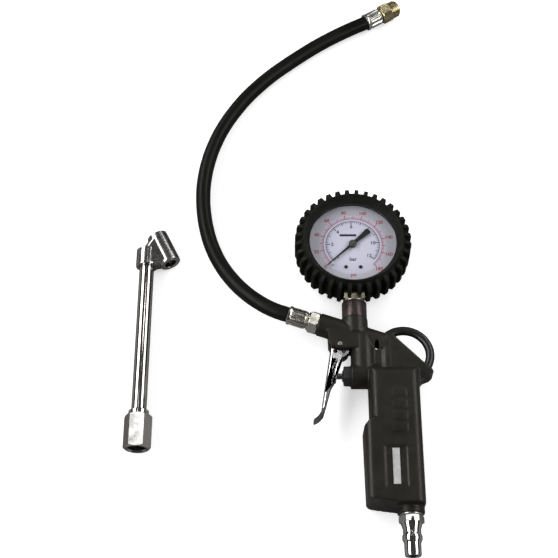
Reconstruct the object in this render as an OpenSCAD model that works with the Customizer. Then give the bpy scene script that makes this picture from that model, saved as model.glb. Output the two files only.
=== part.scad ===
// Tyre inflator gun with a pressure gauge, an air hose and a loose dual-foot chuck wand.
// Everything lies on a flat surface: +Z is up, +Y runs from the air inlet to the gauge.

/* [Gun body] */
// Thickness of the grip
grip_t = 28; // [26:1:34]
// Depth of the lower grip, front to back
grip_w = 37; // [35:1:45]
// Length of the grip below the valve's axis
grip_h = 86; // [78:1:104]
// How far the upper grip is set back behind the lower grip
grip_step = 4.6; // [3.8:0.2:5.6]
// Outer diameter of the air barrel
barrel_d = 15.6; // [15.6:0.2:18.8]
// Length of the barrel in front of the riser's axis
barrel_len = 25.6; // [24:0.2:31]
// Angle of the barrel to the square of the grip
barrel_tilt = 19; // [16:1:22]
// Outer diameter of the valve chamber and of the column over it
valve_boss_d = 17; // [15.4:0.2:20.4]
// Diameter of the cord of the hanging loop
loop_d = 6; // [5:0.2:7.2]
// Radius of the hanging loop at the middle of its cord
loop_r = 17.2; // [16.6:0.2:18.6]

/* [Trigger and valve] */
// Width of the trigger
trigger_w = 9; // [7.5:0.5:10]
// Length of the trigger below its pin
trigger_len = 45; // [38:1:54]
// Diameter of the trigger's pin
pin_d = 3; // [2.5:0.1:3.6]
// Diameter of the valve stem
stem_d = 4; // [3.4:0.1:4.8]

/* [Gauge] */
// Radius of the visible dial
window_r = 29.8; // [27:0.2:30]
// Outer radius of the pressed case
case_r = 32.5; // [31:0.5:39]
// Number of teeth round the rubber boot
boot_teeth = 36; // [24:1:40]
// How far the boot's teeth stand out
boot_tooth_h = 4; // [3:0.2:4.8]
// Outer diameter of the riser under the gauge
riser_d = 16.8; // [16:0.2:20.2]
// Length of the riser
riser_len = 12.2; // [11.5:0.1:14.6]

/* [Hose] */
// Outer diameter of the hose
hose_d = 10.5; // [8.8:0.1:11]
// Size across the flats of the hose fittings' hexagons
fitting_af = 14; // [13.5:0.5:17]

/* [Wand] */
// Outer diameter of the wand's tube
wand_d = 10; // [8.4:0.2:10.4]
// Length of the wand between its nut and its head
wand_len = 108; // [90:1:130]
// Size across the flats of the wand's nut
nut_af = 16; // [15:0.5:19]
// Outer diameter of the chuck's barrel
foot_d = 14.6; // [14:0.2:15.4]
// Length of the chuck's barrel
foot_len = 24; // [24:0.5:29]

/* [Inlet] */
// Diameter of the inlet plug's nose
plug_nose_d = 10.6; // [9.5:0.1:11.2]
// Length of the inlet plug below the body
plug_len = 26.1; // [24:0.1:31]

/* [Hidden] */
$fn = 64;
eps = 0.01;

// Fits
run_clear = 0.05;      // radial clearance of a running fit
slip = 0.1;            // small gap that keeps two pieces apart
thread_clear = 0.05;   // radial clearance of a thread drawn as a plain cylinder

// Places on the surface
mid_z = grip_t / 2;            // height of the gun's middle plane
gun_x = 49.8;                  // riser's axis
gun_y = -8.4;                  // valve's axis
wand_x = -93.2;                // wand tube's axis
wand_z = nut_af / 2;           // the nut lies on one flat

// Body
barrel_y = 29.5;                       // barrel's axis over the valve's axis, on the riser's axis
barrel_bore_d = 8;
barrel_back = 20;                      // barrel's length behind the riser's axis
grip_back = 40.4;                      // grip's rear face
grip_front = grip_back - grip_w;
neck_front = grip_front + grip_step;
neck_y = -33.2;                        // where the grip steps forward
shoulder_y = 3;                        // top of the grip's full thickness
shoulder_r = 6;
grip_edge_r = 5.5;
web_t = 9;                             // thickness of the web between the columns
tang_t = 12;                           // thickness of the tang that carries the loop
front_column_x = 4.9;
rear_column_x = 21.3;
rear_column_d = 12.6;
riser_boss_d = riser_d + 0.8;
riser_boss_y = 41.1;
inlet_boss_d = 17.4;
inlet_x = grip_back - inlet_boss_d / 2 - 0.1;
inlet_y = -grip_h - 7.2;               // lower face of the inlet boss
air_d = 8;                             // air way through the grip
badge_size = [4.5, 23.4, 0.6];
badge_x = 22.6;
badge_y = -65.7;
badge_recess = [14.5, 26.7, 0.8];

// Loop
loop_x = 32.4;
loop_y = 15.7;
loop_from = -52;                       // lower end of the loop's cord, as an angle
loop_to = 146;                         // upper end of the loop's cord

// Threads
quarter_d = 13.1;                      // quarter-inch pipe thread
eighth_d = 9.7;                        // eighth-inch pipe thread
thread_len = 9;

// Trigger
pivot_x = -10.6;
pivot_y = 20.6;
trigger_head_r = 5.6;
trigger_head_drop = 2.6;               // from the pin to the middle of the head's round
trigger_hole_d = 2.8;                  // holes that lighten the head
lug_t = 2.9;
lug_r = 2.9;
lug_gap = 0.2;
pad_x = -13.3;                         // face of the trigger that pushes the stem

// Valve, along X from the trigger towards the grip
chamber_d = 10.4;
chamber_end = 36;
body_front = front_column_x - valve_boss_d / 2;
gland_d = 12;
gland_head_d = 13.4;
gland_head_x = -8.4;
gland_nose_x = -9.3;
gland_washer_t = 0.8;
gland_in = 9;                          // how deep the gland reaches into the body
stem_end = 16.4;
seat_x = 14;
seat_t = 3;
seat_hole_d = 6;
poppet_seal_t = 1.4;
poppet_t = 2;
poppet_d = 8.8;
spring_wire_d = 0.9;

// Gauge, with heights over its own back
gauge_y = 96.3;                        // gauge's centre over the valve's axis
stem_back = 14;                        // gauge back to the middle of its stem
boot_back_t = 2.5;
wall_t = 1.2;                          // case wall
dial_z = 19;                           // dial's face
dial_t = 0.6;
rim_z = 21.2;                          // case rim
gasket_t = 0.6;
lens_t = 1.6;
bezel_t = 0.7;
bezel_wall = 1;
bezel_top = rim_z + gasket_t + lens_t + bezel_t;
bezel_r = case_r + slip + bezel_wall;
boot_in_r = bezel_r + slip;
boot_root_r = boot_in_r + 2.4;
boot_tip_r = boot_root_r + boot_tooth_h;
boot_top = bezel_top + 7;
tooth_w = 3;
pointer_len = 25;
pointer_tail = 15.8;
pointer_zero = 222.7;                  // angle of the pointer at no pressure
stop_pin_r = 20.9;
stop_pin_a = 228.5;
af_square = 14;                        // square of the gauge's socket
block_z = 8.8;                         // back of the socket's block inside the case
block_h = 9.6;
riser_washer_t = 1;

// Movement
module_gear = 0.25;
pinion_teeth = 12;
sector_teeth = 96;                     // teeth on the sector's full circle
gear_distance = module_gear * (pinion_teeth + sector_teeth) / 2;
sector_a = -110;                       // direction of the sector's arbor from the pointer
sector_x = gear_distance * cos(sector_a);
sector_y = gear_distance * sin(sector_a);
sector_swing = 33.75;
tail_r = 6;
tail_a = -84.4;                        // direction of the sector's tail at rest
tail_x = sector_x + tail_r * cos(tail_a);
tail_y = sector_y + tail_r * sin(tail_a);
tube_r = 22.6;
tube_h = 8;
tube_w = 3.2;
tube_z = 13.6;
tube_from = -25;
tube_sweep = 280;
tip_x = 17;
tip_y = -9.8;
plate_t = 1.2;
arbor_d = 1.4;                         // pinion's arbor
sector_arbor_d = 1.2;
back_plate_z = 6.4;
front_plate_z = 13.6;
sector_z = 9;
pinion_z = 8.4;
hairspring_z = 11.6;
pillar_xy = [[-12, -6], [9, -3]];
movement_screw_xy = [[-1.5, -9], [3, -14]];
dial_screw_xy = [[-5, -17.5], [5, -17.5]];

// Hose: its ends lie in the ferrules, and it runs over the surface between them
hose_points = [
    [16, 32.7, 14], [5, 36.5, 14], [-5, 40.6, 13.3], [-15.3, 47.4, 11.6], [-25.4, 56.6, 9.3],
    [-34.4, 67.4, 7.4], [-42, 79.4, 6], [-48, 92.4, 5.5], [-52.2, 106.2, 5.4], [-54.8, 121, 5.4],
    [-55.8, 136, 5.4], [-55, 151, 5.4], [-52.4, 166, 5.4], [-48.1, 180.6, 5.4], [-42.1, 194.8, 5.4],
    [-34.7, 208, 5.4], [-26.1, 220.5, 5.4], [-16.5, 231.8, 5.4], [-6, 242.4, 5.4], [5.5, 252.3, 5.4],
    [17.1, 261.6, 5.4], [29.2, 270.5, 5.5], [42, 278.6, 5.8], [55, 285.6, 6.5], [66, 291, 7],
    [76, 297, 7]
];
hose_sides = 12;
ferrule_len = 13.8;
ferrule_grip = 12.2;                   // depth of the hose in a ferrule
tail_d = 6;                            // barbed tail inside the hose
fitting_bore_d = 3.6;
hex_len = 6.6;
collar_len = 1.2;
end_thread_len = 7.4;
end_x = 66;                            // mouth of the free end's ferrule
end_y = 291;
end_z = fitting_af / 2;
end_a = atan2(6, 10);                  // direction of the free end

// Wand
nut_len = 26.5;
nut_collar_d = 13.4;
nut_collar_len = 3.5;
nut_thread_len = 11;
nut_thread_d = 11.5;                   // inner diameter of a quarter-inch pipe thread
nut_bottom_y = -56.6;
wand_bore_d = 6.5;
wand_in_nut = nut_len - nut_thread_len - 1.6;
nut_washer_t = 1.6;
head_y = nut_bottom_y + nut_len + wand_len - 2;   // lower face of the head's socket
socket_len = 11;
socket_d = wand_d + 5.2;
foot_a = 26;                           // barrel's angle to the wand
foot_x = 16.5;                         // lower mouth's centre from the wand's axis
foot_y = 2.9;                          // and over the socket's lower face
ring_len = 5;
ring_d = 11;
mouth_d = 8.4;
chuck_seal_t = 2;
chuck_seal_hole_d = 5;
chuck_pin_d = 2.4;
chuck_disc_d = 8.6;
chuck_travel = 2;

// ---- Helpers ----

// A bar along Z with rounded corners
module round_bar(w, d, r, h) {
    linear_extrude(height = h) {
        square([w - 2 * r, d], center = true);
        square([w, d - 2 * r], center = true);
        for (sx = [-1, 1], sy = [-1, 1])
            translate([sx * (w / 2 - r), sy * (d / 2 - r)]) circle(r = r);
    }
}

// A hexagon along Z with its corners turned down at one or both ends
module hex_bar(af, h, chamfer_low = true, chamfer_high = true) {
    corner = af / cos(30);
    turn = 0.09 * af;
    intersection() {
        rotate([0, 0, 30]) cylinder(d = corner, h = h, $fn = 6);
        rotate_extrude()
            polygon([
                [0, 0], [chamfer_low ? corner / 2 - turn : corner / 2 + 1, 0],
                [corner / 2 + eps, chamfer_low ? turn * 0.7 : 0],
                [corner / 2 + eps, chamfer_high ? h - turn * 0.7 : h],
                [chamfer_high ? corner / 2 - turn : corner / 2 + 1, h], [0, h]
            ]);
    }
}

module ring(r_out, r_in, h) {
    difference() {
        cylinder(r = r_out, h = h);
        translate([0, 0, -1]) cylinder(r = r_in, h = h + 2);
    }
}

function unit(v) = v / norm(v);

// Directions along a route, taken from each point's neighbours
function along(p, i) = unit(p[min(i + 1, len(p) - 1)] - p[max(i - 1, 0)]);

// One ring of a swept tube
function ring_points(p, t, r, n) =
    let (side = unit(cross([0, 0, 1], t)), up = cross(t, side))
    [for (k = [0 : n - 1]) p + r * (cos(360 * k / n) * side + sin(360 * k / n) * up)];

// A closed tube of n sides swept through the points of a route
module swept_tube(p, r, n) {
    rings = len(p);
    points = [for (i = [0 : rings - 1]) each ring_points(p[i], along(p, i), r, n)];
    sides = [for (i = [0 : rings - 2], k = [0 : n - 1])
        let (a = i * n + k, b = i * n + (k + 1) % n)
        each [[a, b, b + n], [a, b + n, a + n]]];
    first = [for (k = [0 : n - 1]) n - 1 - k];
    last = [for (k = [0 : n - 1]) (rings - 1) * n + k];
    polyhedron(points = points, faces = concat([first], sides, [last]), convexity = 10);
}

// A coil spring along Z: the last half turn at each end lies flat
module coil_spring(d, wire, length, turns) {
    steps = 14;
    n = 6;
    count = turns * steps;
    rise = length - wire;
    route = [for (i = [0 : count])
        let (a = 360 * i / steps, u = min(max((i - steps / 2) / (count - steps), 0), 1))
        [(d - wire) / 2 * cos(a), (d - wire) / 2 * sin(a), wire / 2 + rise * u]];
    swept_tube(route, wire / 2, n);
}

// Angle of an involute at radius r over its base circle rb
function inv_angle(r, rb) = r <= rb ? 0 : sqrt(pow(r / rb, 2) - 1) * 180 / PI - acos(rb / r);

// Outline of one gear tooth, centred on angle a
function tooth_points(a, teeth, backlash) =
    let (rp = module_gear * teeth / 2, rb = rp * cos(20), ra = rp + 0.8 * module_gear,
         rf = rp - 1.1 * module_gear,
         half = 90 / teeth - backlash / rp * 90 / PI,
         radii = [rf, max(rf, rp - 0.4 * module_gear), rp, rp + 0.45 * module_gear, ra])
    concat(
        [for (r = radii) let (w = half + inv_angle(rp, rb) - inv_angle(r, rb))
            [r * cos(a - w), r * sin(a - w)]],
        [for (i = [len(radii) - 1 : -1 : 0])
            let (r = radii[i], w = half + inv_angle(rp, rb) - inv_angle(r, rb))
            [r * cos(a + w), r * sin(a + w)]]);

// ---- Frames ----

// The gun's own frame: riser's axis, valve's axis and middle plane
module on_gun() { translate([gun_x, gun_y, mid_z]) children(); }

// Along the barrel: +Z points out of its mouth
module on_barrel(t = 0) {
    on_gun() translate([0, barrel_y, 0]) rotate([0, 0, -barrel_tilt]) rotate([0, -90, 0])
        translate([0, 0, t]) children();
}

// Along the valve: +Z points from the trigger into the grip
module on_valve(x = 0) { on_gun() translate([x, 0, 0]) rotate([0, 90, 0]) children(); }

// Upright in the gun's plane: +Z points along +Y
module on_column(x, y) { on_gun() translate([x, y, 0]) rotate([-90, 0, 0]) children(); }

module on_gauge(z = 0) {
    translate([gun_x, gun_y + gauge_y, mid_z - stem_back + z]) children();
}

module on_free_end(s = 0) {
    translate([end_x, end_y, end_z]) rotate([0, 0, end_a]) rotate([0, 90, 0])
        translate([0, 0, s]) children();
}

module on_wand(y) { translate([wand_x, y, wand_z]) rotate([-90, 0, 0]) children(); }

// Along the chuck's barrel: +Z points from its lower mouth to its upper one
module on_foot(s = 0) {
    translate([wand_x + foot_x, head_y + foot_y, wand_z]) rotate([0, 0, foot_a])
        rotate([-90, 0, 0]) translate([0, 0, s]) children();
}

// ---- Gun body ----

module grip_solid() {
    on_gun() intersection() {
        union() {
            translate([(grip_front + grip_back) / 2, neck_y, 0]) rotate([90, 0, 0])
                round_bar(grip_w, grip_t, grip_edge_r, grip_h);
            translate([(neck_front + grip_back) / 2, shoulder_y, 0]) rotate([90, 0, 0])
                round_bar(grip_back - neck_front, grip_t, grip_edge_r, shoulder_y - neck_y + 8);
        }
        linear_extrude(height = grip_t + 2, center = true)
            polygon([
                [neck_front, shoulder_y], [neck_front, neck_y], [grip_front, neck_y - grip_step],
                [grip_front + 0.9, 1.4 - grip_h], [grip_front + 2.2, -grip_h],
                [inlet_x - inlet_boss_d / 2, -grip_h - 2.4], [grip_back + 1, -grip_h - 2.4],
                [grip_back + 1, shoulder_y]
            ]);
        rotate([0, 90, 0]) linear_extrude(height = 3 * grip_w, center = true) {
            translate([-grip_t / 2, -grip_h - 4])
                square([grip_t, grip_h + 4 + shoulder_y - shoulder_r]);
            translate([shoulder_r - grip_t / 2, 0])
                square([grip_t - 2 * shoulder_r, shoulder_y]);
            for (s = [-1, 1])
                translate([s * (grip_t / 2 - shoulder_r), shoulder_y - shoulder_r])
                    circle(r = shoulder_r);
        }
    }
}

module plate(t) { on_gun() linear_extrude(height = t, center = true) children(); }

module body_solid() {
    on_barrel(-barrel_back) cylinder(d = barrel_d, h = barrel_back + barrel_len);
    on_column(0, barrel_y) cylinder(d = riser_boss_d, h = riser_boss_y - barrel_y);
    on_column(front_column_x, 0) cylinder(d = valve_boss_d - 0.4, h = barrel_y - 2);
    on_valve(body_front) cylinder(d = valve_boss_d, h = neck_front - body_front + 8);
    on_column(rear_column_x, 0) cylinder(d = rear_column_d, h = 25);
    on_column(rear_column_x, 25) cylinder(d1 = rear_column_d, d2 = rear_column_d - 3, h = 3);
    on_column(inlet_x, inlet_y) cylinder(d = inlet_boss_d, h = 14);
    grip_solid();
    // web between the columns and the barrel
    plate(web_t)
        polygon([[2, -4], [2, 27], [18, 26], [26, 27], [44, 8.6], [36, -4]]);
    // tang behind the web, which takes both ends of the loop
    plate(tang_t)
        polygon([
            [rear_column_x - 4, 27], [rear_column_x + 2, 29.4], [25.6, 27.6], [45.1, 7.6],
            [50, 3.2], [50.8, 1.6], [50.2, 0], [48, -1.9], [43.7, -3.6], [41.6, -6.4],
            [grip_back, -11], [grip_back - 9, -11], [rear_column_x, 8]
        ]);
    // lugs for the trigger's pin
    for (s = [-1, 1])
        on_gun() translate([0, 0, s * (trigger_w / 2 + lug_gap + lug_t / 2)])
            linear_extrude(height = lug_t, center = true) {
                translate([pivot_x, pivot_y]) circle(r = lug_r);
                polygon([
                    [-18.3, 31], [-18, 22], [-16.6, 19.6], [pivot_x - 1.2, pivot_y - lug_r + 0.2],
                    [pivot_x + 1, pivot_y - lug_r], [front_column_x - 4, pivot_y - lug_r],
                    [front_column_x - 4, 31]
                ]);
            }
    // raised pads on the grip's side
    for (k = [0 : 3])
        on_gun() translate([26.4, -16.6 - 7.9 * k, grip_t / 2 - 1]) linear_extrude(height = 1.35)
            square([8.6, 5.2], center = true);
}

module gun_body() color([0.16, 0.16, 0.155]) difference() {
    body_solid();
    // room for the trigger's head under the barrel
    on_gun() translate([pivot_x, pivot_y, -trigger_w / 2 - lug_gap])
        cylinder(r = trigger_head_r + 0.6, h = trigger_w + 2 * lug_gap);
    on_gun() translate([pivot_x, pivot_y, -barrel_d])
        cylinder(d = pin_d, h = 2 * barrel_d);
    // air ways
    on_column(inlet_x, inlet_y - 1) cylinder(d = quarter_d + 2 * thread_clear, h = 1 + thread_len + 1);
    on_column(inlet_x, inlet_y) cylinder(d = air_d, h = -inlet_y);
    on_valve(body_front - 1) cylinder(d = chamber_d, h = chamber_end - body_front + 1);
    on_valve(body_front - 1) cylinder(d = gland_d + 2 * thread_clear, h = 1 + gland_in + slip);
    on_column(front_column_x, 0) cylinder(d = 4.4, h = barrel_y);
    on_barrel(-6) cylinder(d = barrel_bore_d, h = barrel_len + 7);
    on_barrel(barrel_len - thread_len - 1)
        cylinder(d = eighth_d + 2 * thread_clear, h = thread_len + 2);
    on_column(0, barrel_y) cylinder(d = 5, h = riser_boss_y);
    on_column(0, riser_boss_y - 5.6) cylinder(d = quarter_d + 2 * thread_clear, h = 10);
    // slot between the two columns
    plate(2 * web_t) {
        translate([14, 20.5]) square([2.6, 3.4], center = true);
        for (s = [-1, 1]) translate([14, 20.5 + s * 1.7]) circle(d = 2.6);
    }
    // sockets for the loop
    on_gun() translate([loop_x, loop_y, 0]) rotate([0, 0, loop_from])
        rotate_extrude(angle = loop_to - loop_from) translate([loop_r, 0])
            circle(d = loop_d + 2 * run_clear);
    // recess for the badge
    on_gun() translate([badge_x, badge_y, grip_t / 2 - badge_recess[2] / 2 + 1])
        cube([badge_recess[0], badge_recess[1], badge_recess[2] + 2], center = true);
}

module grip_badge() color([0.9, 0.9, 0.88])
    on_gun() translate([badge_x, badge_y, grip_t / 2 - badge_recess[2] + badge_size[2] / 2])
        cube(badge_size, center = true);

module hanging_loop() color([0.13, 0.13, 0.13])
    on_gun() translate([loop_x, loop_y, 0]) rotate([0, 0, loop_from + 0.3])
        rotate_extrude(angle = loop_to - loop_from - 0.6) translate([loop_r, 0])
            circle(d = loop_d);

// ---- Inlet ----

module inlet_plug() color([0.8, 0.8, 0.82]) on_column(inlet_x, inlet_y) rotate([180, 0, 0])
    difference() {
        union() {
            translate([0, 0, -thread_len]) cylinder(d = quarter_d, h = thread_len + 1);
            translate([0, 0, 0.8]) hex_bar(14, 4.4, true, false);
            translate([0, 0, 5.2 - eps]) cylinder(d1 = 14, d2 = 11.4, h = 3.8);
            translate([0, 0, 9 - 2 * eps]) rotate_extrude() polygon([
                [0, 0], [5.7, 0], [5.7, 3.4], [6.3, 4.6], [6.3, 7], [5.7, 8.4],
                [plug_nose_d / 2, 8.8], [plug_nose_d / 2, plug_len - 10],
                [plug_nose_d / 2 - 0.6, plug_len - 9], [0, plug_len - 9]
            ]);
        }
        translate([0, 0, -thread_len - 1]) cylinder(d = 6, h = plug_len + thread_len + 2);
    }

module inlet_seal() color([0.7, 0.7, 0.7]) on_column(inlet_x, inlet_y) rotate([180, 0, 0])
    ring(7.6, quarter_d / 2, 0.8);

// ---- Trigger ----

module trigger_outline() {
    low = pivot_y - trigger_len;
    translate([pivot_x, pivot_y]) circle(r = trigger_head_r);
    translate([pivot_x + 0.3, pivot_y - trigger_head_drop]) circle(r = trigger_head_r + 0.4);
    polygon([
        [pivot_x - trigger_head_r + 0.1, pivot_y + 0.6], [-17.5, 14], [-23.2, low + 2.4],
        [-23.7, low - 1.6], [-25.6, low - 4.6], [-28.7, low - 7.2], [-28.2, low - 8.1],
        [-24.8, low - 6.2], [-22.1, low - 3], [-20.8, low + 1.4], [-16.7, -8], [-14.6, -3.8],
        [pad_x, -3.2], [pad_x, 3.2], [-12, 5.4], [-9.2, 12.6], [-5.4, 17.6],
        [pivot_x + trigger_head_r, pivot_y]
    ]);
}

module trigger() color([0.82, 0.82, 0.84]) on_gun() difference() {
    linear_extrude(height = trigger_w, center = true) trigger_outline();
    translate([pivot_x, pivot_y, -trigger_w]) cylinder(r = pin_d / 2 + run_clear, h = 2 * trigger_w);
    for (x = [-3.1, 2.6]) translate([pivot_x + x, pivot_y - 4.4, -trigger_w])
        cylinder(d = trigger_hole_d, h = 2 * trigger_w);
    // lightening pockets in both sides
    for (s = [-1, 1]) translate([0, 0, s * (trigger_w / 2)])
        linear_extrude(height = 0.6 * trigger_w, center = true)
            polygon([[-16, 11.4], [-12.2, 11], [-14.8, 4.6], [-16.8, -4], [-20.6, -13],
                [-21.2, -13]]);
}

module trigger_pin() color([0.6, 0.6, 0.62]) on_gun()
    translate([pivot_x, pivot_y, -trigger_w / 2 - lug_gap - lug_t - 0.3])
        cylinder(d = pin_d, h = trigger_w + 2 * lug_gap + 2 * lug_t + 0.6);

// ---- Valve ----

module valve_gland() color([0.2, 0.2, 0.2]) difference() {
    union() {
        on_valve(body_front) cylinder(d = gland_d, h = gland_in);
        on_valve(gland_head_x)
            hex_bar(gland_head_d - 1, body_front - gland_head_x - gland_washer_t, true, false);
        on_valve(body_front - gland_washer_t - eps) cylinder(d = gland_d - 1.4, h = 1);
        on_valve(gland_nose_x) cylinder(d1 = 6.6, d2 = 9, h = gland_head_x - gland_nose_x + eps);
    }
    on_valve(gland_nose_x - 1) cylinder(d = stem_d + 2 * run_clear, h = 40);
    on_valve(body_front + 2) cylinder(d = stem_d + 4, h = gland_in);
}

module gland_washer() color([0.1, 0.1, 0.1]) on_valve(body_front - gland_washer_t)
    ring(gland_head_d / 2 + 0.2, gland_d / 2 - 0.7, gland_washer_t);

// two rubber rings round the stem, inside the gland
module stem_seals() color([0.08, 0.08, 0.08]) for (x = [3.6, 5.8])
    on_valve(body_front + x) rotate_extrude() translate([stem_d / 2 + 1, 0])
        circle(r = 0.97);

module valve_stem() color([0.6, 0.6, 0.62]) {
    on_valve(pad_x + slip) cylinder(d1 = stem_d - 1, d2 = stem_d, h = 0.6 + eps);
    on_valve(pad_x + slip + 0.6) cylinder(d = stem_d, h = stem_end - pad_x - slip - 0.6);
}

module valve_seat() color([0.78, 0.66, 0.35]) on_valve(seat_x)
    ring(chamber_d / 2, seat_hole_d / 2, seat_t);

module valve_poppet() color([0.78, 0.66, 0.35]) {
    on_valve(stem_end) cylinder(d = stem_d, h = seat_x + seat_t + poppet_seal_t - stem_end + 0.1);
    on_valve(seat_x + seat_t + poppet_seal_t) cylinder(d = poppet_d, h = poppet_t);
    on_valve(seat_x + seat_t + poppet_seal_t + poppet_t - eps) cylinder(d = 5, h = 2);
}

module poppet_seal() color([0.1, 0.1, 0.1]) on_valve(seat_x + seat_t)
    ring(poppet_d / 2 - 0.2, stem_d / 2, poppet_seal_t);

module valve_spring() color([0.7, 0.7, 0.72])
    on_valve(seat_x + seat_t + poppet_seal_t + poppet_t + 0.02)
        coil_spring(8.2, spring_wire_d,
            chamber_end - seat_x - seat_t - poppet_seal_t - poppet_t - 0.04, 6);

// ---- Riser and gauge ----

module gauge_riser() color([0.3, 0.26, 0.23]) difference() {
    union() {
        on_column(0, riser_boss_y) cylinder(d = riser_d, h = riser_len);
        on_column(0, riser_boss_y - 5.5) cylinder(d = quarter_d, h = 6);
    }
    on_column(0, riser_boss_y - 6) cylinder(d = 5, h = riser_len + 8);
    on_column(0, riser_boss_y + 1.8) cylinder(d = quarter_d + 2 * thread_clear, h = riser_len);
}

module riser_washer() color([0.72, 0.7, 0.66]) on_column(0, riser_boss_y + riser_len)
    ring(7.6, quarter_d / 2 + thread_clear, riser_washer_t);

// The square of the socket, its thread and the arm that holds the movement
module gauge_socket() color([0.75, 0.72, 0.62]) {
    shoulder = riser_boss_y + riser_len + riser_washer_t;
    square_end = gauge_y - bezel_r - 1.4;
    difference() {
        union() {
            on_column(0, shoulder - thread_len - 1) cylinder(d = quarter_d, h = thread_len + 2);
            on_gun() translate([-af_square / 2, shoulder, -af_square / 2])
                cube([af_square, square_end - shoulder, af_square]);
            on_gauge() translate([-7, -bezel_r - 1.5, block_z]) cube([14, bezel_r - 20, block_h]);
            on_gauge() translate([-7, -22, 15.6]) cube([14, 7, dial_z - dial_t - 15.6]);
            on_gauge() translate([-4.5, -22, 4.4]) cube([9, 20, back_plate_z - 4.4]);
            on_gauge() translate([-4.5, -24, 4.4]) cube([9, 2.5, 6]);
        }
        // air way up to the Bourdon tube, which is soldered into a slot
        on_column(0, shoulder - thread_len - 2) cylinder(d = 4, h = gauge_y - shoulder - 13);
        on_gauge(tube_z) translate([-6, -23, 0]) rotate([0, 90, 0]) cylinder(d = 1.6, h = 7);
        on_gauge(tube_z) rotate([0, 0, tube_from + tube_sweep - 14]) rotate_extrude(angle = 14)
            translate([tube_r, 0]) flat_section(tube_h, tube_w);
        for (p = dial_screw_xy) on_gauge(15) translate([p[0], p[1]]) cylinder(d = 1.4, h = 5);
        for (p = movement_screw_xy) on_gauge(4) translate([p[0], p[1]]) cylinder(d = 1.6, h = 4);
    }
}

module gauge_case() color([0.1, 0.1, 0.1]) on_gauge(boot_back_t) difference() {
    cylinder(r = case_r, h = rim_z - boot_back_t);
    translate([0, 0, wall_t]) cylinder(r = case_r - wall_t, h = rim_z);
    translate([-7, -case_r - 2, block_z - boot_back_t]) cube([14, 8, block_h]);
}

module gauge_boot() color([0.12, 0.12, 0.12]) on_gauge() difference() {
    union() {
        rotate_extrude() polygon([
            [24, 0], [boot_root_r - 4, 0], [boot_root_r - 1, 2.4], [boot_root_r, 6],
            [boot_root_r, 25.4], [boot_root_r - 0.8, boot_top - 2.6], [boot_root_r - 1.6, boot_top - 0.5],
            [boot_root_r - 2.2, boot_top], [boot_root_r - 3, boot_top - 0.5],
            [window_r + 0.6, bezel_top + 0.9], [window_r, bezel_top + 0.4], [window_r, bezel_top],
            [boot_in_r, bezel_top], [boot_in_r, boot_back_t], [24, boot_back_t]
        ]);
        for (k = [0 : boot_teeth - 1]) rotate([0, 0, 360 * (k + 0.5) / boot_teeth])
            rotate([90, 0, 0]) linear_extrude(height = tooth_w, center = true)
                polygon([
                    [boot_root_r - 1.4, 3.2], [boot_tip_r - 0.8, 7], [boot_tip_r, 9.4],
                    [boot_tip_r, 25.6], [boot_tip_r - 0.7, 27.6],
                    [boot_root_r - 3, boot_top - 1.5], [boot_root_r - 3, bezel_top + 2],
                    [boot_root_r - 1.4, bezel_top + 1]
                ]);
    }
    translate([-8, -boot_tip_r - 2, stem_back - 8]) cube([16, 14, 16]);
}

module bezel_ring() color([0.14, 0.14, 0.14]) on_gauge() rotate_extrude() polygon([
    [window_r + 0.1, bezel_top - bezel_t], [window_r + 0.1, bezel_top], [bezel_r, bezel_top],
    [bezel_r, block_z + block_h + 0.2], [case_r + slip, block_z + block_h + 0.2],
    [case_r + slip, bezel_top - bezel_t]
]);

module gauge_lens() color([0.9, 0.93, 0.95, 0.3]) on_gauge(rim_z + gasket_t)
    cylinder(r = case_r - 0.1, h = lens_t);

module lens_gasket() color([0.1, 0.1, 0.1]) on_gauge(rim_z)
    ring(case_r, case_r - 1.5, gasket_t);

module gauge_dial() color([0.92, 0.92, 0.94]) on_gauge(dial_z - dial_t) difference() {
    union() {
        cylinder(r = case_r - wall_t - 0.1, h = dial_t);
        // zero stop pin
        translate([stop_pin_r * cos(stop_pin_a), stop_pin_r * sin(stop_pin_a), 0])
            cylinder(r = 0.5, h = dial_t + 2);
    }
    translate([0, 0, -1]) cylinder(r = 2.5, h = 3);
    for (p = dial_screw_xy) translate([p[0], p[1], -1]) cylinder(d = 1.7, h = 3);
}

module dial_screws() color([0.2, 0.2, 0.2]) for (p = dial_screw_xy)
    on_gauge() translate([p[0], p[1], 0]) difference() {
        union() {
            translate([0, 0, 15.8]) cylinder(d = 1.4, h = dial_z - 15.8 + 0.1);
            translate([0, 0, dial_z]) cylinder(d = 2.4, h = 0.7);
        }
        translate([0, 0, dial_z + 0.6]) cube([3, 0.4, 0.6], center = true);
    }

module pointer() color([0.05, 0.05, 0.05]) on_gauge() difference() {
    union() {
        translate([0, 0, 20.2]) rotate([0, 0, pointer_zero]) linear_extrude(height = 0.5)
            polygon([
                [pointer_len, 0.15], [6, 0.75], [0, 1.2], [-6, 1.3], [1.6 - pointer_tail, 2.1],
                [0.4 - pointer_tail, 1.9], [-pointer_tail, 1.1], [-pointer_tail, -1.1],
                [0.4 - pointer_tail, -1.9], [1.6 - pointer_tail, -2.1], [-6, -1.3], [0, -1.2],
                [6, -0.75], [pointer_len, -0.15]
            ]);
        translate([0, 0, 19.9]) cylinder(r = 2.7, h = 1.3);
    }
    translate([0, 0, 19]) cylinder(d = arbor_d, h = 1.9);
}

module pinion() color([0.8, 0.68, 0.35]) on_gauge() {
    translate([0, 0, pinion_z]) linear_extrude(height = 2.8) {
        circle(r = module_gear * pinion_teeth / 2 - module_gear);
        for (k = [0 : pinion_teeth - 1])
            polygon(tooth_points(sector_a + 360 * k / pinion_teeth, pinion_teeth, 0.04));
    }
    translate([0, 0, back_plate_z + 0.1]) cylinder(d = arbor_d, h = 20.8 - back_plate_z);
    translate([0, 0, pinion_z + 2.8 - eps]) cylinder(r = 1.4, h = 1.9);
}

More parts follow.
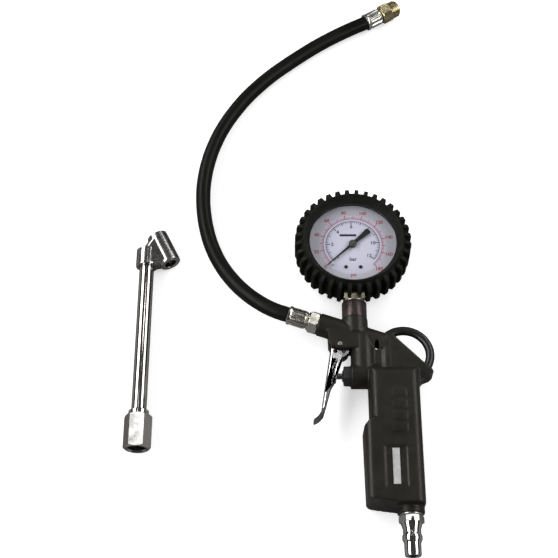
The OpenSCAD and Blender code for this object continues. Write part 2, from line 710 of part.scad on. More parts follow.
module hairspring() color([0.75, 0.65, 0.4]) on_gauge(hairspring_z) {
    turns = 3.5;
    steps = 70;
    thick = 0.14;
    pitch = (4.6 - 1.45) / turns;
    r_at = function (i) 1.45 + pitch * turns * i / steps;
    linear_extrude(height = 0.8) polygon(concat(
        [for (i = [0 : steps]) let (a = 360 * turns * i / steps + 180) r_at(i) * [cos(a), sin(a)]],
        [for (i = [steps : -1 : 0]) let (a = 360 * turns * i / steps + 180)
            (r_at(i) + thick) * [cos(a), sin(a)]]));
}

module hairspring_stud() color([0.8, 0.68, 0.35]) on_gauge(hairspring_z - 0.3)
    translate([5.3, 0, 0]) cylinder(r = 0.55, h = front_plate_z - hairspring_z + 0.3);

// Toothed sector with its arbor and the tail that the link drives
module sector_gear() color([0.8, 0.68, 0.35]) on_gauge() translate([sector_x, sector_y, 0])
    difference() {
        rp = module_gear * sector_teeth / 2;
        pitch_a = 360 / sector_teeth;
        line_a = sector_a + 180;
        union() {
            translate([0, 0, sector_z]) linear_extrude(height = plate_t) {
                intersection() {
                    circle(r = rp - module_gear);
                    polygon([[0, 0], 16 * [cos(line_a + 7), sin(line_a + 7)],
                        18 * [cos(line_a - 16), sin(line_a - 16)],
                        16 * [cos(line_a - 41), sin(line_a - 41)]]);
                }
                for (k = [-10 : 1])
                    polygon(tooth_points(line_a + (k + 0.5) * pitch_a, sector_teeth, 0.04));
                circle(r = 2.2);
                rotate([0, 0, tail_a]) translate([0, -1.2]) square([tail_r, 2.4]);
                rotate([0, 0, tail_a]) translate([tail_r, 0]) circle(r = 1.2);
            }
            translate([0, 0, back_plate_z + 0.1])
                cylinder(d = sector_arbor_d, h = front_plate_z - back_plate_z + 1);
            translate([tail_r * cos(tail_a), tail_r * sin(tail_a), sector_z]) cylinder(d = 1.2, h = 2.7);
        }
        // weight-saving window in the sector
        translate([0, 0, sector_z - 1]) rotate([0, 0, line_a - 17]) translate([7, 0, 0])
            cylinder(r = 2.2, h = 4);
    }

// Flat link, drawn from the sector's tail to the tube's tip
module movement_link() color([0.78, 0.66, 0.4]) on_gauge(sector_z + plate_t + 0.2) {
    link_a = atan2(tip_y - tail_y, tip_x - tail_x);
    link_len = norm([tip_x - tail_x, tip_y - tail_y]);
    translate([tail_x, tail_y, 0]) rotate([0, 0, link_a]) linear_extrude(height = 0.8)
        difference() {
            union() {
                translate([0, -0.9]) square([link_len, 1.8]);
                circle(r = 2);
                translate([link_len, 0]) circle(r = 1.5);
            }
            square([1.4, 0.9], center = true);
            for (s = [-1, 1]) translate([0, s * 0.45]) circle(d = 1.4);
            translate([link_len, 0]) circle(d = 1.2);
        }
}

// End piece soldered on the free end of the Bourdon tube, with the link's pin
module bourdon_tip() color([0.78, 0.66, 0.4]) on_gauge() {
    translate([tip_x, tip_y, 10]) cylinder(d = 1.2, h = 2);
    translate([tip_x, tip_y, 11.6]) cylinder(r = 1.6, h = 1.6);
    translate([tip_x, tip_y, 12.4]) rotate([0, 0, -26]) translate([0, -1.4, -0.4]) cube([4.4, 2.8, 1.2]);
    rotate([0, 0, tube_from - 5]) translate([tube_r - 1.8, -0.9, tube_z - 2.1])
        cube([3.6, 2.6, 5.5]);
}

// Flattened C-shaped tube, closed at its free end
module bourdon_tube() color([0.76, 0.6, 0.38]) on_gauge(tube_z)
    rotate([0, 0, tube_from]) rotate_extrude(angle = tube_sweep) translate([tube_r, 0])
        difference() {
            flat_section(tube_h, tube_w);
            flat_section(tube_h - 0.8, tube_w - 0.8);
        }

module flat_section(h, w) {
    square([w, h - w], center = true);
    for (s = [-1, 1]) translate([0, s * (h - w) / 2]) circle(d = w);
}

module movement_plate(z) on_gauge(z) difference() {
    linear_extrude(height = plate_t) polygon([
        [-14.5, -8.5], [-14, -3.5], [-4, 4.6], [4, 4.6], [11.6, -0.6], [11.6, -5.6],
        [5.6, -16], [-6.8, -16.6]
    ]);
    translate([0, 0, -1]) cylinder(d = arbor_d + 2 * run_clear, h = 4);
    translate([sector_x, sector_y, -1]) cylinder(d = sector_arbor_d + 2 * run_clear, h = 4);
    for (p = pillar_xy) translate([p[0], p[1], -1]) cylinder(d = 1.6, h = 4);
}

module back_plate() color([0.8, 0.68, 0.35]) difference() {
    movement_plate(back_plate_z);
    for (p = movement_screw_xy) on_gauge(back_plate_z - 1) translate([p[0], p[1]])
        cylinder(d = 1.7, h = 4);
}

module front_plate() color([0.8, 0.68, 0.35]) movement_plate(front_plate_z);

module movement_pillars() color([0.7, 0.6, 0.33]) for (p = pillar_xy)
    on_gauge() translate([p[0], p[1], 0]) {
        translate([0, 0, back_plate_z]) cylinder(d = 1.6, h = front_plate_z + plate_t - back_plate_z);
        translate([0, 0, back_plate_z + plate_t])
            cylinder(d = 3, h = front_plate_z - back_plate_z - plate_t);
        translate([0, 0, front_plate_z + plate_t - eps]) cylinder(d = 2.8, h = 0.7);
    }

module movement_screws() color([0.6, 0.6, 0.6]) for (p = movement_screw_xy)
    on_gauge() translate([p[0], p[1], 0]) {
        translate([0, 0, 4.6]) cylinder(d = 1.6, h = back_plate_z + plate_t - 4.6 + 0.1);
        translate([0, 0, back_plate_z + plate_t]) cylinder(d = 2.8, h = 0.7);
    }

// ---- Hose and its fittings ----

module hose() color([0.07, 0.07, 0.07]) swept_tube(hose_points, hose_d / 2, hose_sides);

// Crimped sleeve, with its mouth at 0
module ferrule() {
    mouth = hose_d / 2 + run_clear;
    difference() {
        rotate_extrude() polygon([
            [mouth, 0], [mouth + 0.9, 0], [mouth + 1, 0.9], [mouth + 0.45, 2.2], [mouth + 0.4, 4],
            [mouth + 0.9, 6.4], [mouth + 1.3, 8.4], [mouth + 1.3, 11.6], [mouth + 0.9, 13],
            [mouth - 0.3, ferrule_len], [tail_d / 2, ferrule_len], [tail_d / 2, ferrule_grip + 0.1],
            [mouth, ferrule_grip + 0.1]
        ]);
        // flutes left by the crimping jaws
        for (k = [0 : 7]) rotate([0, 0, 45 * k]) translate([mouth + 1.75, 0, 5])
            cylinder(r = 0.8, h = 7.4);
    }
}

// Barbed tail, collar, hexagon and thread, with the ferrule's mouth at 0
module fitting(thread_d, thread_h) difference() {
    union() {
        translate([0, 0, 1]) cylinder(d = tail_d, h = ferrule_len);
        translate([0, 0, ferrule_len]) cylinder(d = fitting_af - 1.6, h = collar_len + eps);
        translate([0, 0, ferrule_len + collar_len]) hex_bar(fitting_af, hex_len);
        translate([0, 0, ferrule_len + collar_len + hex_len - eps])
            cylinder(d = thread_d, h = thread_h - 0.8 + eps);
        translate([0, 0, ferrule_len + collar_len + hex_len + thread_h - 0.8 - eps])
            cylinder(d1 = thread_d, d2 = thread_d - 1.6, h = 0.8);
    }
    translate([0, 0, -1]) cylinder(d = fitting_bore_d, h = 60);
}

module on_gun_hose(s = 0) {
    on_barrel(barrel_len + ferrule_len + collar_len + hex_len) rotate([180, 0, 0])
        translate([0, 0, s]) children();
}

module hose_gun_fitting() color([0.8, 0.76, 0.62]) on_gun_hose() fitting(eighth_d, thread_len);

module hose_gun_ferrule() color([0.75, 0.75, 0.76]) on_gun_hose() ferrule();

module hose_end_fitting() color([0.8, 0.74, 0.5]) on_free_end()
    fitting(quarter_d, end_thread_len);

module hose_end_ferrule() color([0.75, 0.75, 0.76]) on_free_end() ferrule();

// ---- Wand ----

module wand_tube() color([0.85, 0.85, 0.87]) on_wand(nut_bottom_y + nut_thread_len + nut_washer_t)
    ring(wand_d / 2, wand_bore_d / 2, wand_in_nut + wand_len - 2 + socket_len);

module wand_nut() color([0.85, 0.85, 0.87]) on_wand(nut_bottom_y) difference() {
    union() {
        rotate([0, 0, 90]) hex_bar(nut_af, nut_len - nut_collar_len);
        translate([0, 0, nut_len - nut_collar_len - eps])
            cylinder(d = nut_collar_d, h = nut_collar_len - 0.6);
        translate([0, 0, nut_len - 0.6 - 2 * eps])
            cylinder(d1 = nut_collar_d, d2 = nut_collar_d - 1.2, h = 0.6);
    }
    translate([0, 0, -1]) cylinder(d = nut_thread_d, h = 1 + nut_thread_len);
    translate([0, 0, -eps]) cylinder(d1 = quarter_d + 0.2, d2 = nut_thread_d, h = 1);
    translate([0, 0, 2]) cylinder(d = nut_thread_d - 0.8, h = nut_thread_len - 2 + nut_washer_t);
    translate([0, 0, 2]) cylinder(d = wand_d, h = nut_len);
}

module wand_washer() color([0.15, 0.15, 0.15]) on_wand(nut_bottom_y + nut_thread_len)
    ring(nut_thread_d / 2 - 0.4, 3, nut_washer_t);

module chuck_head() color([0.85, 0.85, 0.87]) difference() {
    union() {
        on_wand(head_y) cylinder(d = socket_d, h = socket_len + 2);
        on_foot() cylinder(d = foot_d, h = foot_len);
        // cast body between the socket and the barrel
        hull() {
            on_wand(head_y + 0.8) cylinder(d = socket_d - 1.4, h = 8, $fn = 32);
            on_foot(1.2) cylinder(d = foot_d - 1.6, h = foot_len - 3, $fn = 32);
        }
    }
    on_wand(head_y - 1) cylinder(d = wand_d, h = socket_len + 1);
    on_wand(head_y) cylinder(d = 5, h = socket_len + 2);
    on_wand(head_y + socket_len + 1) rotate([0, 78, 0]) cylinder(d = 4, h = 11);
    on_foot(-1) cylinder(d = ring_d, h = ring_len + chuck_seal_t + 1);
    on_foot(foot_len - ring_len - chuck_seal_t) cylinder(d = ring_d, h = ring_len + chuck_seal_t + 1);
    on_foot(1) cylinder(d = chuck_disc_d + 0.4, h = foot_len - 2);
}

module mouth_ring() difference() {
    cylinder(d = ring_d, h = ring_len);
    translate([0, 0, -1]) cylinder(d = mouth_d, h = ring_len + 2);
}

module chuck_seal() ring(ring_d / 2, chuck_seal_hole_d / 2, chuck_seal_t);

// Disc that closes the seal, with the pin that opens the tyre's valve
module chuck_pin() {
    translate([0, 0, ring_len + 0.3]) cylinder(d = chuck_pin_d, h = chuck_seal_t);
    translate([0, 0, ring_len + chuck_seal_t + 0.02]) cylinder(d = chuck_disc_d, h = 1.4);
    translate([0, 0, ring_len + chuck_seal_t + 1.4]) cylinder(d = 3.6, h = 1.2);
}

module from_upper_mouth() { on_foot(foot_len) rotate([180, 0, 0]) children(); }

module lower_mouth_ring() color([0.8, 0.8, 0.82]) on_foot() mouth_ring();

module lower_chuck_seal() color([0.1, 0.1, 0.1]) on_foot(ring_len) chuck_seal();

module lower_chuck_pin() color([0.78, 0.66, 0.35]) on_foot() chuck_pin();

module upper_mouth_ring() color([0.8, 0.8, 0.82]) from_upper_mouth() mouth_ring();

module upper_chuck_seal() color([0.1, 0.1, 0.1]) from_upper_mouth()
    translate([0, 0, ring_len]) chuck_seal();

module upper_chuck_pin() color([0.78, 0.66, 0.35]) from_upper_mouth() chuck_pin();

module chuck_spring() color([0.7, 0.7, 0.72]) {
    seat = ring_len + chuck_seal_t + 1.44;
    on_foot(seat) coil_spring(6, 0.7, foot_len - 2 * seat, 5);
}

gun_body();
grip_badge();
hanging_loop();
inlet_plug();
inlet_seal();
trigger();
trigger_pin();
valve_gland();
gland_washer();
stem_seals();
valve_stem();
valve_seat();
valve_poppet();
poppet_seal();
valve_spring();
gauge_riser();
riser_washer();
gauge_socket();
gauge_case();
gauge_boot();
bezel_ring();
gauge_lens();
lens_gasket();
gauge_dial();
dial_screws();
pointer();
pinion();
hairspring();
hairspring_stud();
sector_gear();
movement_link();
bourdon_tip();
bourdon_tube();
back_plate();
front_plate();
movement_pillars();
movement_screws();
hose();
hose_gun_fitting();
hose_gun_ferrule();
hose_end_fitting();
hose_end_ferrule();
wand_tube();
wand_nut();
wand_washer();
chuck_head();
lower_mouth_ring();
lower_chuck_seal();
lower_chuck_pin();
upper_mouth_ring();
upper_chuck_seal();
upper_chuck_pin();
chuck_spring();
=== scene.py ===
from math import atan2, cos, degrees, hypot, pi, radians, sin

import bmesh
import bpy
from mathutils import Matrix, Vector


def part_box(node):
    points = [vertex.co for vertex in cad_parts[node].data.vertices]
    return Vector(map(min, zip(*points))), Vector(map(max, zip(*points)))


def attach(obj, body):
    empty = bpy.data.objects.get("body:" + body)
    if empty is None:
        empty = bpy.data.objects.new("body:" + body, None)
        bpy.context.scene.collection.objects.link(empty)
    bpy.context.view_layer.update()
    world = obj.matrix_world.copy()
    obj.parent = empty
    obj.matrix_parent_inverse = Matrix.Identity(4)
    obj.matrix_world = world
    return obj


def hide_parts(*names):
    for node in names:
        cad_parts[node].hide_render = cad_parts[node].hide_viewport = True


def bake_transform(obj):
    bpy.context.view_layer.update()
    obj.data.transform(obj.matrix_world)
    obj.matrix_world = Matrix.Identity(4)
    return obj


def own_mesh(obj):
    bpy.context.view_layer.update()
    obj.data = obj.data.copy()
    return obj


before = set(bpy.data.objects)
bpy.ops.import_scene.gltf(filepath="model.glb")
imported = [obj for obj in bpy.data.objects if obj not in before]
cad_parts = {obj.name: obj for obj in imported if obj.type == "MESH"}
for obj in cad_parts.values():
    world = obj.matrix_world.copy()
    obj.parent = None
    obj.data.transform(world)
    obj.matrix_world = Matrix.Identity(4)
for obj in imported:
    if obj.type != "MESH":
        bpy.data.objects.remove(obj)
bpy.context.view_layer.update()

MM = 0.001


# ---- Camera ----
# It looks down at the surface from the inlet's side, as the tool is laid out on a bench.
camera_data = bpy.data.cameras.new("camera")
camera_data.lens = 77.4
camera_data.sensor_width = 36
camera_data.clip_start = 0.05
camera = bpy.data.objects.new("camera", camera_data)
camera.location = (-0.0012, -0.31045, 0.74845)
looked_at = Vector((-0.0012, 0.0709, 0.0))
camera.rotation_euler = (looked_at - camera.location).to_track_quat("-Z", "Y").to_euler()
bpy.context.collection.objects.link(camera)
bpy.context.scene.camera = camera


# ---- Hose ----
# A short length of smooth black rubber air hose. It leaves the gun's ferrule, sags to the
# surface, runs round in a wide open curve and rises a little into the ferrule at its free end.
HOSE_POINTS = [
    (16, 32.7, 14), (5, 36.5, 14), (-5, 40.6, 13.3), (-15.3, 47.4, 11.6), (-25.4, 56.6, 9.3),
    (-34.4, 67.4, 7.4), (-42, 79.4, 6), (-48, 92.4, 5.5), (-52.2, 106.2, 5.4), (-54.8, 121, 5.4),
    (-55.8, 136, 5.4), (-55, 151, 5.4), (-52.4, 166, 5.4), (-48.1, 180.6, 5.4), (-42.1, 194.8, 5.4),
    (-34.7, 208, 5.4), (-26.1, 220.5, 5.4), (-16.5, 231.8, 5.4), (-6, 242.4, 5.4), (5.5, 252.3, 5.4),
    (17.1, 261.6, 5.4), (29.2, 270.5, 5.5), (42, 278.6, 5.8), (55, 285.6, 6.5), (66, 291, 7),
    (76, 297, 7),
]
HOSE_WIDE = 10.5


def shader(name, colour, rough, metal=0.0):
    """A new material with its principled shader set up, and its nodes and links."""
    made = bpy.data.materials.new(name)
    made.use_nodes = True
    nodes, links = made.node_tree.nodes, made.node_tree.links
    surface = nodes["Principled BSDF"]
    surface.inputs["Base Color"].default_value = (*colour, 1)
    surface.inputs["Roughness"].default_value = rough
    surface.inputs["Metallic"].default_value = metal
    return made, nodes, links, surface


def patchy(nodes, links, source, scale, low, high, detail=4.0):
    """Noise over the piece between two values, such as two roughnesses."""
    noise = nodes.new("ShaderNodeTexNoise")
    noise.inputs["Scale"].default_value = scale
    noise.inputs["Detail"].default_value = detail
    links.new(source, noise.inputs["Vector"])
    spread = nodes.new("ShaderNodeMapRange")
    spread.inputs["From Min"].default_value = 0.3
    spread.inputs["From Max"].default_value = 0.7
    spread.inputs["To Min"].default_value = low
    spread.inputs["To Max"].default_value = high
    links.new(noise.outputs["Fac"], spread.inputs["Value"])
    return spread.outputs["Result"]


def two_tone(nodes, links, amount, dark, light):
    """A colour that goes from dark to light with an amount from 0 to 1."""
    ramp = nodes.new("ShaderNodeValToRGB")
    ramp.color_ramp.elements[0].color = (*dark, 1)
    ramp.color_ramp.elements[1].color = (*light, 1)
    links.new(amount, ramp.inputs["Fac"])
    return ramp.outputs["Color"]


def raised(nodes, links, surface, height, depth, strength):
    """Bump of a given depth in metres from a height between 0 and 1."""
    bump = nodes.new("ShaderNodeBump")
    bump.inputs["Strength"].default_value = strength
    bump.inputs["Distance"].default_value = depth
    links.new(height, bump.inputs["Height"])
    links.new(bump.outputs["Normal"], surface.inputs["Normal"])


def object_place(nodes):
    return nodes.new("ShaderNodeTexCoord").outputs["Object"]


def hose_rubber():
    made, nodes, links, surface = shader("smooth_hose_rubber", (0.012, 0.012, 0.012), 0.3)
    place = object_place(nodes)
    links.new(patchy(nodes, links, place, 90, 0.3, 0.46), surface.inputs["Roughness"])
    cloudy = patchy(nodes, links, place, 40, 0, 1)
    links.new(two_tone(nodes, links, cloudy, (0.003, 0.003, 0.0024), (0.0065, 0.0065, 0.0052)),
              surface.inputs["Base Color"])
    raised(nodes, links, surface, patchy(nodes, links, place, 2600, 0, 1, 2), 0.00006, 0.25)
    surface.inputs["Specular IOR Level"].default_value = 0.12
    return made


hose_line = bpy.data.curves.new("air_hose", "CURVE")
hose_line.dimensions = "3D"
hose_line.bevel_depth = HOSE_WIDE / 2 * MM
hose_line.bevel_resolution = 10
hose_line.resolution_u = 8
hose_line.use_fill_caps = True
spline = hose_line.splines.new("BEZIER")
spline.bezier_points.add(len(HOSE_POINTS) - 1)
for knot, at in zip(spline.bezier_points, HOSE_POINTS):
    knot.co = Vector(at) * MM
    knot.handle_left_type = knot.handle_right_type = "AUTO"
hose = bpy.data.objects.new("air_hose", hose_line)
bpy.context.collection.objects.link(hose)
hose_line.materials.append(hose_rubber())
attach(hose, "gun")
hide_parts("hose")


# ---- Gun body ----
# One zinc die casting in semi-gloss black paint: barrel, columns, valve boss, tang and grip.
# The mould leaves every edge a little round, and the paint dries with a fine orange-peel skin.
def gun(x, y, z=0.0):
    """A point from its place on the gun: riser's axis, valve's axis and middle plane."""
    return Vector((49.8 + x, y - 8.4, 14.0 + z)) * MM


def new_object(name, mesh_data, body, slot, material, *replaced):
    made = bpy.data.objects.new(name, mesh_data)
    bpy.context.collection.objects.link(made)
    mesh_data.materials.clear()
    mesh_data.materials.append(material)
    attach(made, body)
    if replaced:
        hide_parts(*replaced)
    return made


def soften(mesh, sharp=35):
    """Smooth faces that meet in a hard line only where they turn by more than an angle."""
    for face in mesh.faces:
        face.smooth = True
    for edge in mesh.edges:
        edge.smooth = not (len(edge.link_faces) == 2
                           and edge.calc_face_angle(0) > radians(sharp))


def round_edges(piece, width, segments=2, angle=32):
    bevel = piece.modifiers.new("rounded_edges", "BEVEL")
    bevel.width = width * MM
    bevel.segments = segments
    bevel.limit_method = "ANGLE"
    bevel.angle_limit = radians(angle)
    bevel.harden_normals = True
    bevel.miter_outer = "MITER_ARC"


def cad_copy(node):
    """A merged copy of a CAD node, with its flat faces whole again."""
    mesh = bmesh.new()
    mesh.from_mesh(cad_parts[node].data)
    bmesh.ops.remove_doubles(mesh, verts=mesh.verts, dist=0.000002)
    bmesh.ops.dissolve_degenerate(mesh, edges=mesh.edges, dist=0.000001)
    bmesh.ops.dissolve_limit(mesh, angle_limit=radians(0.4), verts=mesh.verts, edges=mesh.edges)
    return mesh


def made_mesh(mesh, name, sharp=35):
    soften(mesh, sharp)
    data = bpy.data.meshes.new(name)
    mesh.to_mesh(data)
    mesh.free()
    return data


def settled(piece):
    """The piece's mesh with its modifiers applied."""
    graph = bpy.context.evaluated_depsgraph_get()
    data = bpy.data.meshes.new_from_object(piece.evaluated_get(graph))
    piece.modifiers.clear()
    piece.data = data


def cast(piece, cell, passes):
    """Rounds a casting's edges and inner corners all over, as its mould does."""
    remesh = piece.modifiers.new("cast", "REMESH")
    remesh.mode = "VOXEL"
    remesh.voxel_size = cell * MM
    remesh.use_smooth_shade = True
    smooth = piece.modifiers.new("flow", "SMOOTH")
    smooth.factor = 0.5
    smooth.iterations = passes
    settled(piece)


def casting_paint():
    made, nodes, links, surface = shader("casting_paint", (0.018, 0.016, 0.015), 0.36)
    place = object_place(nodes)
    cloudy = patchy(nodes, links, place, 55, 0, 1)
    links.new(two_tone(nodes, links, cloudy, (0.0112, 0.0098, 0.007), (0.0172, 0.015, 0.011)),
              surface.inputs["Base Color"])
    links.new(patchy(nodes, links, place, 160, 0.3, 0.46), surface.inputs["Roughness"])
    raised(nodes, links, surface, patchy(nodes, links, place, 1100, 0, 1, 3), 0.00012, 0.35)
    surface.inputs["Specular IOR Level"].default_value = 0.3
    return made


paint = casting_paint()
body = new_object("casting", made_mesh(cad_copy("gun_body"), "casting"), "gun", "body_black",
                  paint, "gun_body")
cast(body, 0.55, 5)
body.data.materials.clear()
body.data.materials.append(paint)


# ---- Hanging loop ----
# A smooth black plastic cord bent to an arc. Its ends are moulded into sockets in the casting.
def loop_plastic():
    made, nodes, links, surface = shader("loop_plastic", (0.006, 0.0062, 0.0055), 0.3)
    place = object_place(nodes)
    links.new(patchy(nodes, links, place, 220, 0.27, 0.42), surface.inputs["Roughness"])
    raised(nodes, links, surface, patchy(nodes, links, place, 1500, 0, 1, 2), 0.00005, 0.3)
    return made


mesh = bmesh.new()
ring = bmesh.ops.create_circle(mesh, cap_ends=True, segments=28, radius=2.98 * MM)
bmesh.ops.rotate(mesh, verts=mesh.verts, cent=(0, 0, 0), matrix=Matrix.Rotation(pi / 2, 3, "X"))
bmesh.ops.translate(mesh, verts=mesh.verts, vec=(17.2 * MM, 0, 0))
bmesh.ops.rotate(mesh, verts=mesh.verts, cent=(0, 0, 0),
                 matrix=Matrix.Rotation(radians(-51), 3, "Z"))
bmesh.ops.spin(mesh, geom=mesh.verts[:] + mesh.edges[:] + mesh.faces[:], cent=(0, 0, 0),
               axis=(0, 0, 1), angle=radians(196), steps=72, use_merge=False)
bmesh.ops.translate(mesh, verts=mesh.verts, vec=gun(32.4, 15.7))
bmesh.ops.recalc_face_normals(mesh, faces=mesh.faces)
new_object("hanging_cord", made_mesh(mesh, "hanging_cord"), "gun", "loop_black", loop_plastic(),
           "hanging_loop")


# ---- Turned pieces at the hose's ends ----
# Zinc-plated steel: a fluted sleeve crimped over the hose, and a hexagon fitting whose
# barbed tail sits in it. The one at the free end has its thread bare and a yellow plate.
def turned(profile, at, along, steps=72, flats=()):
    """A piece turned about its own axis from a closed outline of (radius, distance), with
    hexagons cut on it where flats gives their size and their two ends."""
    mesh = bmesh.new()
    rim = [mesh.verts.new((r * MM, 0, z * MM)) for r, z in profile]
    edges = [mesh.edges.new(pair) for pair in zip(rim, rim[1:] + rim[:1])]
    bmesh.ops.spin(mesh, geom=rim + edges, cent=(0, 0, 0), axis=(0, 0, 1), angle=2 * pi,
                   steps=steps, use_merge=True)
    bmesh.ops.remove_doubles(mesh, verts=mesh.verts, dist=0.0000005)
    for size, low, high in flats:
        for v in mesh.verts:
            reach = hypot(v.co.x, v.co.y)
            if low - 0.001 <= v.co.z / MM <= high + 0.001 and reach > size / 2 * MM:
                turn = (degrees(atan2(v.co.y, v.co.x)) + 30) % 60 - 30
                most = size / 2 * MM / cos(radians(turn))
                if reach > most:
                    v.co.x *= most / reach
                    v.co.y *= most / reach
    turn = Vector(along).to_track_quat("Z", "Y").to_matrix()
    flat_up = Vector((0, 0, 1)) @ turn
    turn = turn @ Matrix.Rotation(atan2(flat_up.y, flat_up.x), 3, "Z")
    bmesh.ops.transform(mesh, verts=mesh.verts, matrix=turn.to_4x4())
    bmesh.ops.translate(mesh, verts=mesh.verts, vec=at)
    bmesh.ops.recalc_face_normals(mesh, faces=mesh.faces)
    return mesh


def hexagon(size, low, high, slope=0.62, first=True, last=True, rings=5):
    """The outline of a hexagon's corners, turned down at one or both ends."""
    corner = size / 2 / cos(radians(30)) + 0.02
    start = size / 2 - 0.25
    chamfer = [(start + (corner - start) * k / rings, low + slope * (corner - start) * k / rings)
               for k in range(rings + 1)]
    outline = chamfer if first else [(corner, low)]
    if last:
        outline = outline + [(r, high + low - z) for r, z in reversed(chamfer)]
    else:
        outline = outline + [(corner, high)]
    return outline


def turned_metal(name, dark, light, rough_low, rough_high, along, rings=0.25, tint=None):
    """Plated metal with fine tool marks round the axis it was turned about."""
    made, nodes, links, surface = shader(name, light, rough_low, 1.0)
    place = object_place(nodes)
    turn = nodes.new("ShaderNodeMapping")
    turn.vector_type = "POINT"
    axis = Vector(along).normalized()
    turn.inputs["Rotation"].default_value = (0, 0, -atan2(axis.y, axis.x))
    turn.inputs["Scale"].default_value = (3000, 40, 40)
    links.new(place, turn.inputs["Vector"])
    marks = patchy(nodes, links, turn.outputs["Vector"], 1, 0, 1, 2)
    cloudy = patchy(nodes, links, place, 700, 0, 1)
    links.new(two_tone(nodes, links, cloudy, dark, light), surface.inputs["Base Color"])
    links.new(patchy(nodes, links, place, 320, rough_low, rough_high), surface.inputs["Roughness"])
    raised(nodes, links, surface, marks, 0.00002, rings)
    if tint:
        surface.inputs["Specular Tint"].default_value = (*tint, 1)
    return made


HOSE_R = HOSE_WIDE / 2
SLEEVE = [(HOSE_R + 0.06, 0), (HOSE_R + 0.8, 0), (HOSE_R + 1.25, 0.4), (HOSE_R + 1.3, 1.1),
          (HOSE_R + 1.0, 1.9), (HOSE_R + 0.75, 2.4), (HOSE_R + 0.95, 3.2), (HOSE_R + 1.0, 7.0),
          (HOSE_R + 1.0, 10.6), (HOSE_R + 0.9, 11.6), (HOSE_R + 0.55, 12.6), (HOSE_R - 0.1, 13.4),
          (HOSE_R - 0.9, 13.8), (3.02, 13.8), (3.02, 12.4), (HOSE_R + 0.06, 12.4)]


def crimped_sleeve(at, along):
    mesh = turned(SLEEVE, Vector((0, 0, 0)), (0, 0, 1), steps=192)
    for v in mesh.verts:
        z, reach = v.co.z / MM, hypot(v.co.x, v.co.y)
        if 2.4 < z < 13.0 and reach > (HOSE_R + 0.3) * MM:
            wave = max(0.0, cos(9 * atan2(v.co.y, v.co.x))) ** 0.8
            depth = 0.8 * min(1, (z - 2.2) / 0.8) * min(1, (13.0 - z) / 1.5) * MM
            v.co.x *= 1 - wave * depth / reach
            v.co.y *= 1 - wave * depth / reach
    bmesh.ops.transform(mesh, verts=mesh.verts,
                        matrix=Vector(along).to_track_quat("Z", "Y").to_matrix().to_4x4())
    bmesh.ops.translate(mesh, verts=mesh.verts, vec=at)
    return mesh


def add_to(mesh, other):
    """Puts another mesh into this one, and frees it."""
    spare = bpy.data.meshes.new("spare")
    other.to_mesh(spare)
    other.free()
    mesh.from_mesh(spare)
    bpy.data.meshes.remove(spare)


def thread_ridge(mesh, radius, pitch, start, turns, at, along):
    """A helical ridge on a turned thread, with both ends run out into the core."""
    ridge = bmesh.new()
    flank = [(radius - 0.95, -0.5), (radius - 0.12, -0.1), (radius - 0.12, 0.1), (radius - 0.95, 0.5)]
    rim = [ridge.verts.new((r * MM, 0, (start + z * pitch) * MM)) for r, z in flank]
    ridge.faces.new(rim)
    steps = int(36 * turns)
    bmesh.ops.spin(ridge, geom=ridge.verts[:] + ridge.edges[:] + ridge.faces[:], cent=(0, 0, 0),
                   axis=(0, 0, 1), dvec=(0, 0, pitch * turns / steps * MM),
                   angle=2 * pi * turns, steps=steps, use_merge=False)
    bmesh.ops.transform(ridge, verts=ridge.verts,
                        matrix=Vector(along).to_track_quat("Z", "Y").to_matrix().to_4x4())
    bmesh.ops.translate(ridge, verts=ridge.verts, vec=at)
    bmesh.ops.recalc_face_normals(ridge, faces=ridge.faces)
    add_to(mesh, ridge)


free_end, free_way = Vector((66, 291, 7)) * MM, Vector((10, 6, 0)).normalized()
barrel_way = Vector((-cos(radians(19)), sin(radians(19)), 0))
gun_end = gun(0, 29.5) + barrel_way * (25.6 + 13.8 + 1.2 + 6.6) * MM
silver_gun = turned_metal("zinc_plate_gun", (0.6, 0.58, 0.52), (0.78, 0.75, 0.66), 0.2, 0.28,
                          barrel_way, rings=0.06)
silver_free = turned_metal("zinc_plate_free_end", (0.56, 0.55, 0.51), (0.74, 0.73, 0.68), 0.2,
                           0.28, free_way, rings=0.06)
yellow_free = turned_metal("yellow_zinc_plate", (0.42, 0.36, 0.2), (0.7, 0.62, 0.4), 0.2, 0.34,
                           free_way)

new_object("sleeve_gun_end", made_mesh(crimped_sleeve(gun_end, -barrel_way), "sleeve_gun_end"),
           "gun", "zinc_silver", silver_gun, "hose_gun_ferrule")
sleeve_free = new_object("sleeve_free_end",
                         made_mesh(crimped_sleeve(free_end, free_way), "sleeve_free_end"),
                         "gun", "zinc_silver", silver_free, "hose_end_ferrule")

TAIL = [(1.8, 1), (2.9, 1), (2.98, 1.2), (2.98, 13.8), (6.0, 13.8), (6.2, 14.0), (6.2, 15.0)]
mesh = turned(TAIL + hexagon(14, 15.0, 21.6) + [(5.6, 21.6), (4.85, 21.8), (4.85, 30.2),
                                                (4.3, 30.5), (1.8, 30.5)],
              gun_end, -barrel_way, flats=[(14, 15.0, 21.6)])
new_object("fitting_gun_end", made_mesh(mesh, "fitting_gun_end", 24), "gun", "zinc_silver",
           silver_gun, "hose_gun_fitting")
mesh = turned(TAIL + hexagon(14, 15.0, 21.6) + [(6.0, 21.6), (5.75, 22.0), (5.75, 28.3),
                                                (5.2, 29.0), (2.6, 29.0), (1.8, 28.2)],
              free_end, free_way, flats=[(14, 15.0, 21.6)])
thread_ridge(mesh, 6.6, 1.34, 22.6, 4.1, free_end, free_way)
fitting_free = new_object("fitting_free_end", made_mesh(mesh, "fitting_free_end", 24), "gun",
                          "zinc_yellow", yellow_free, "hose_end_fitting")


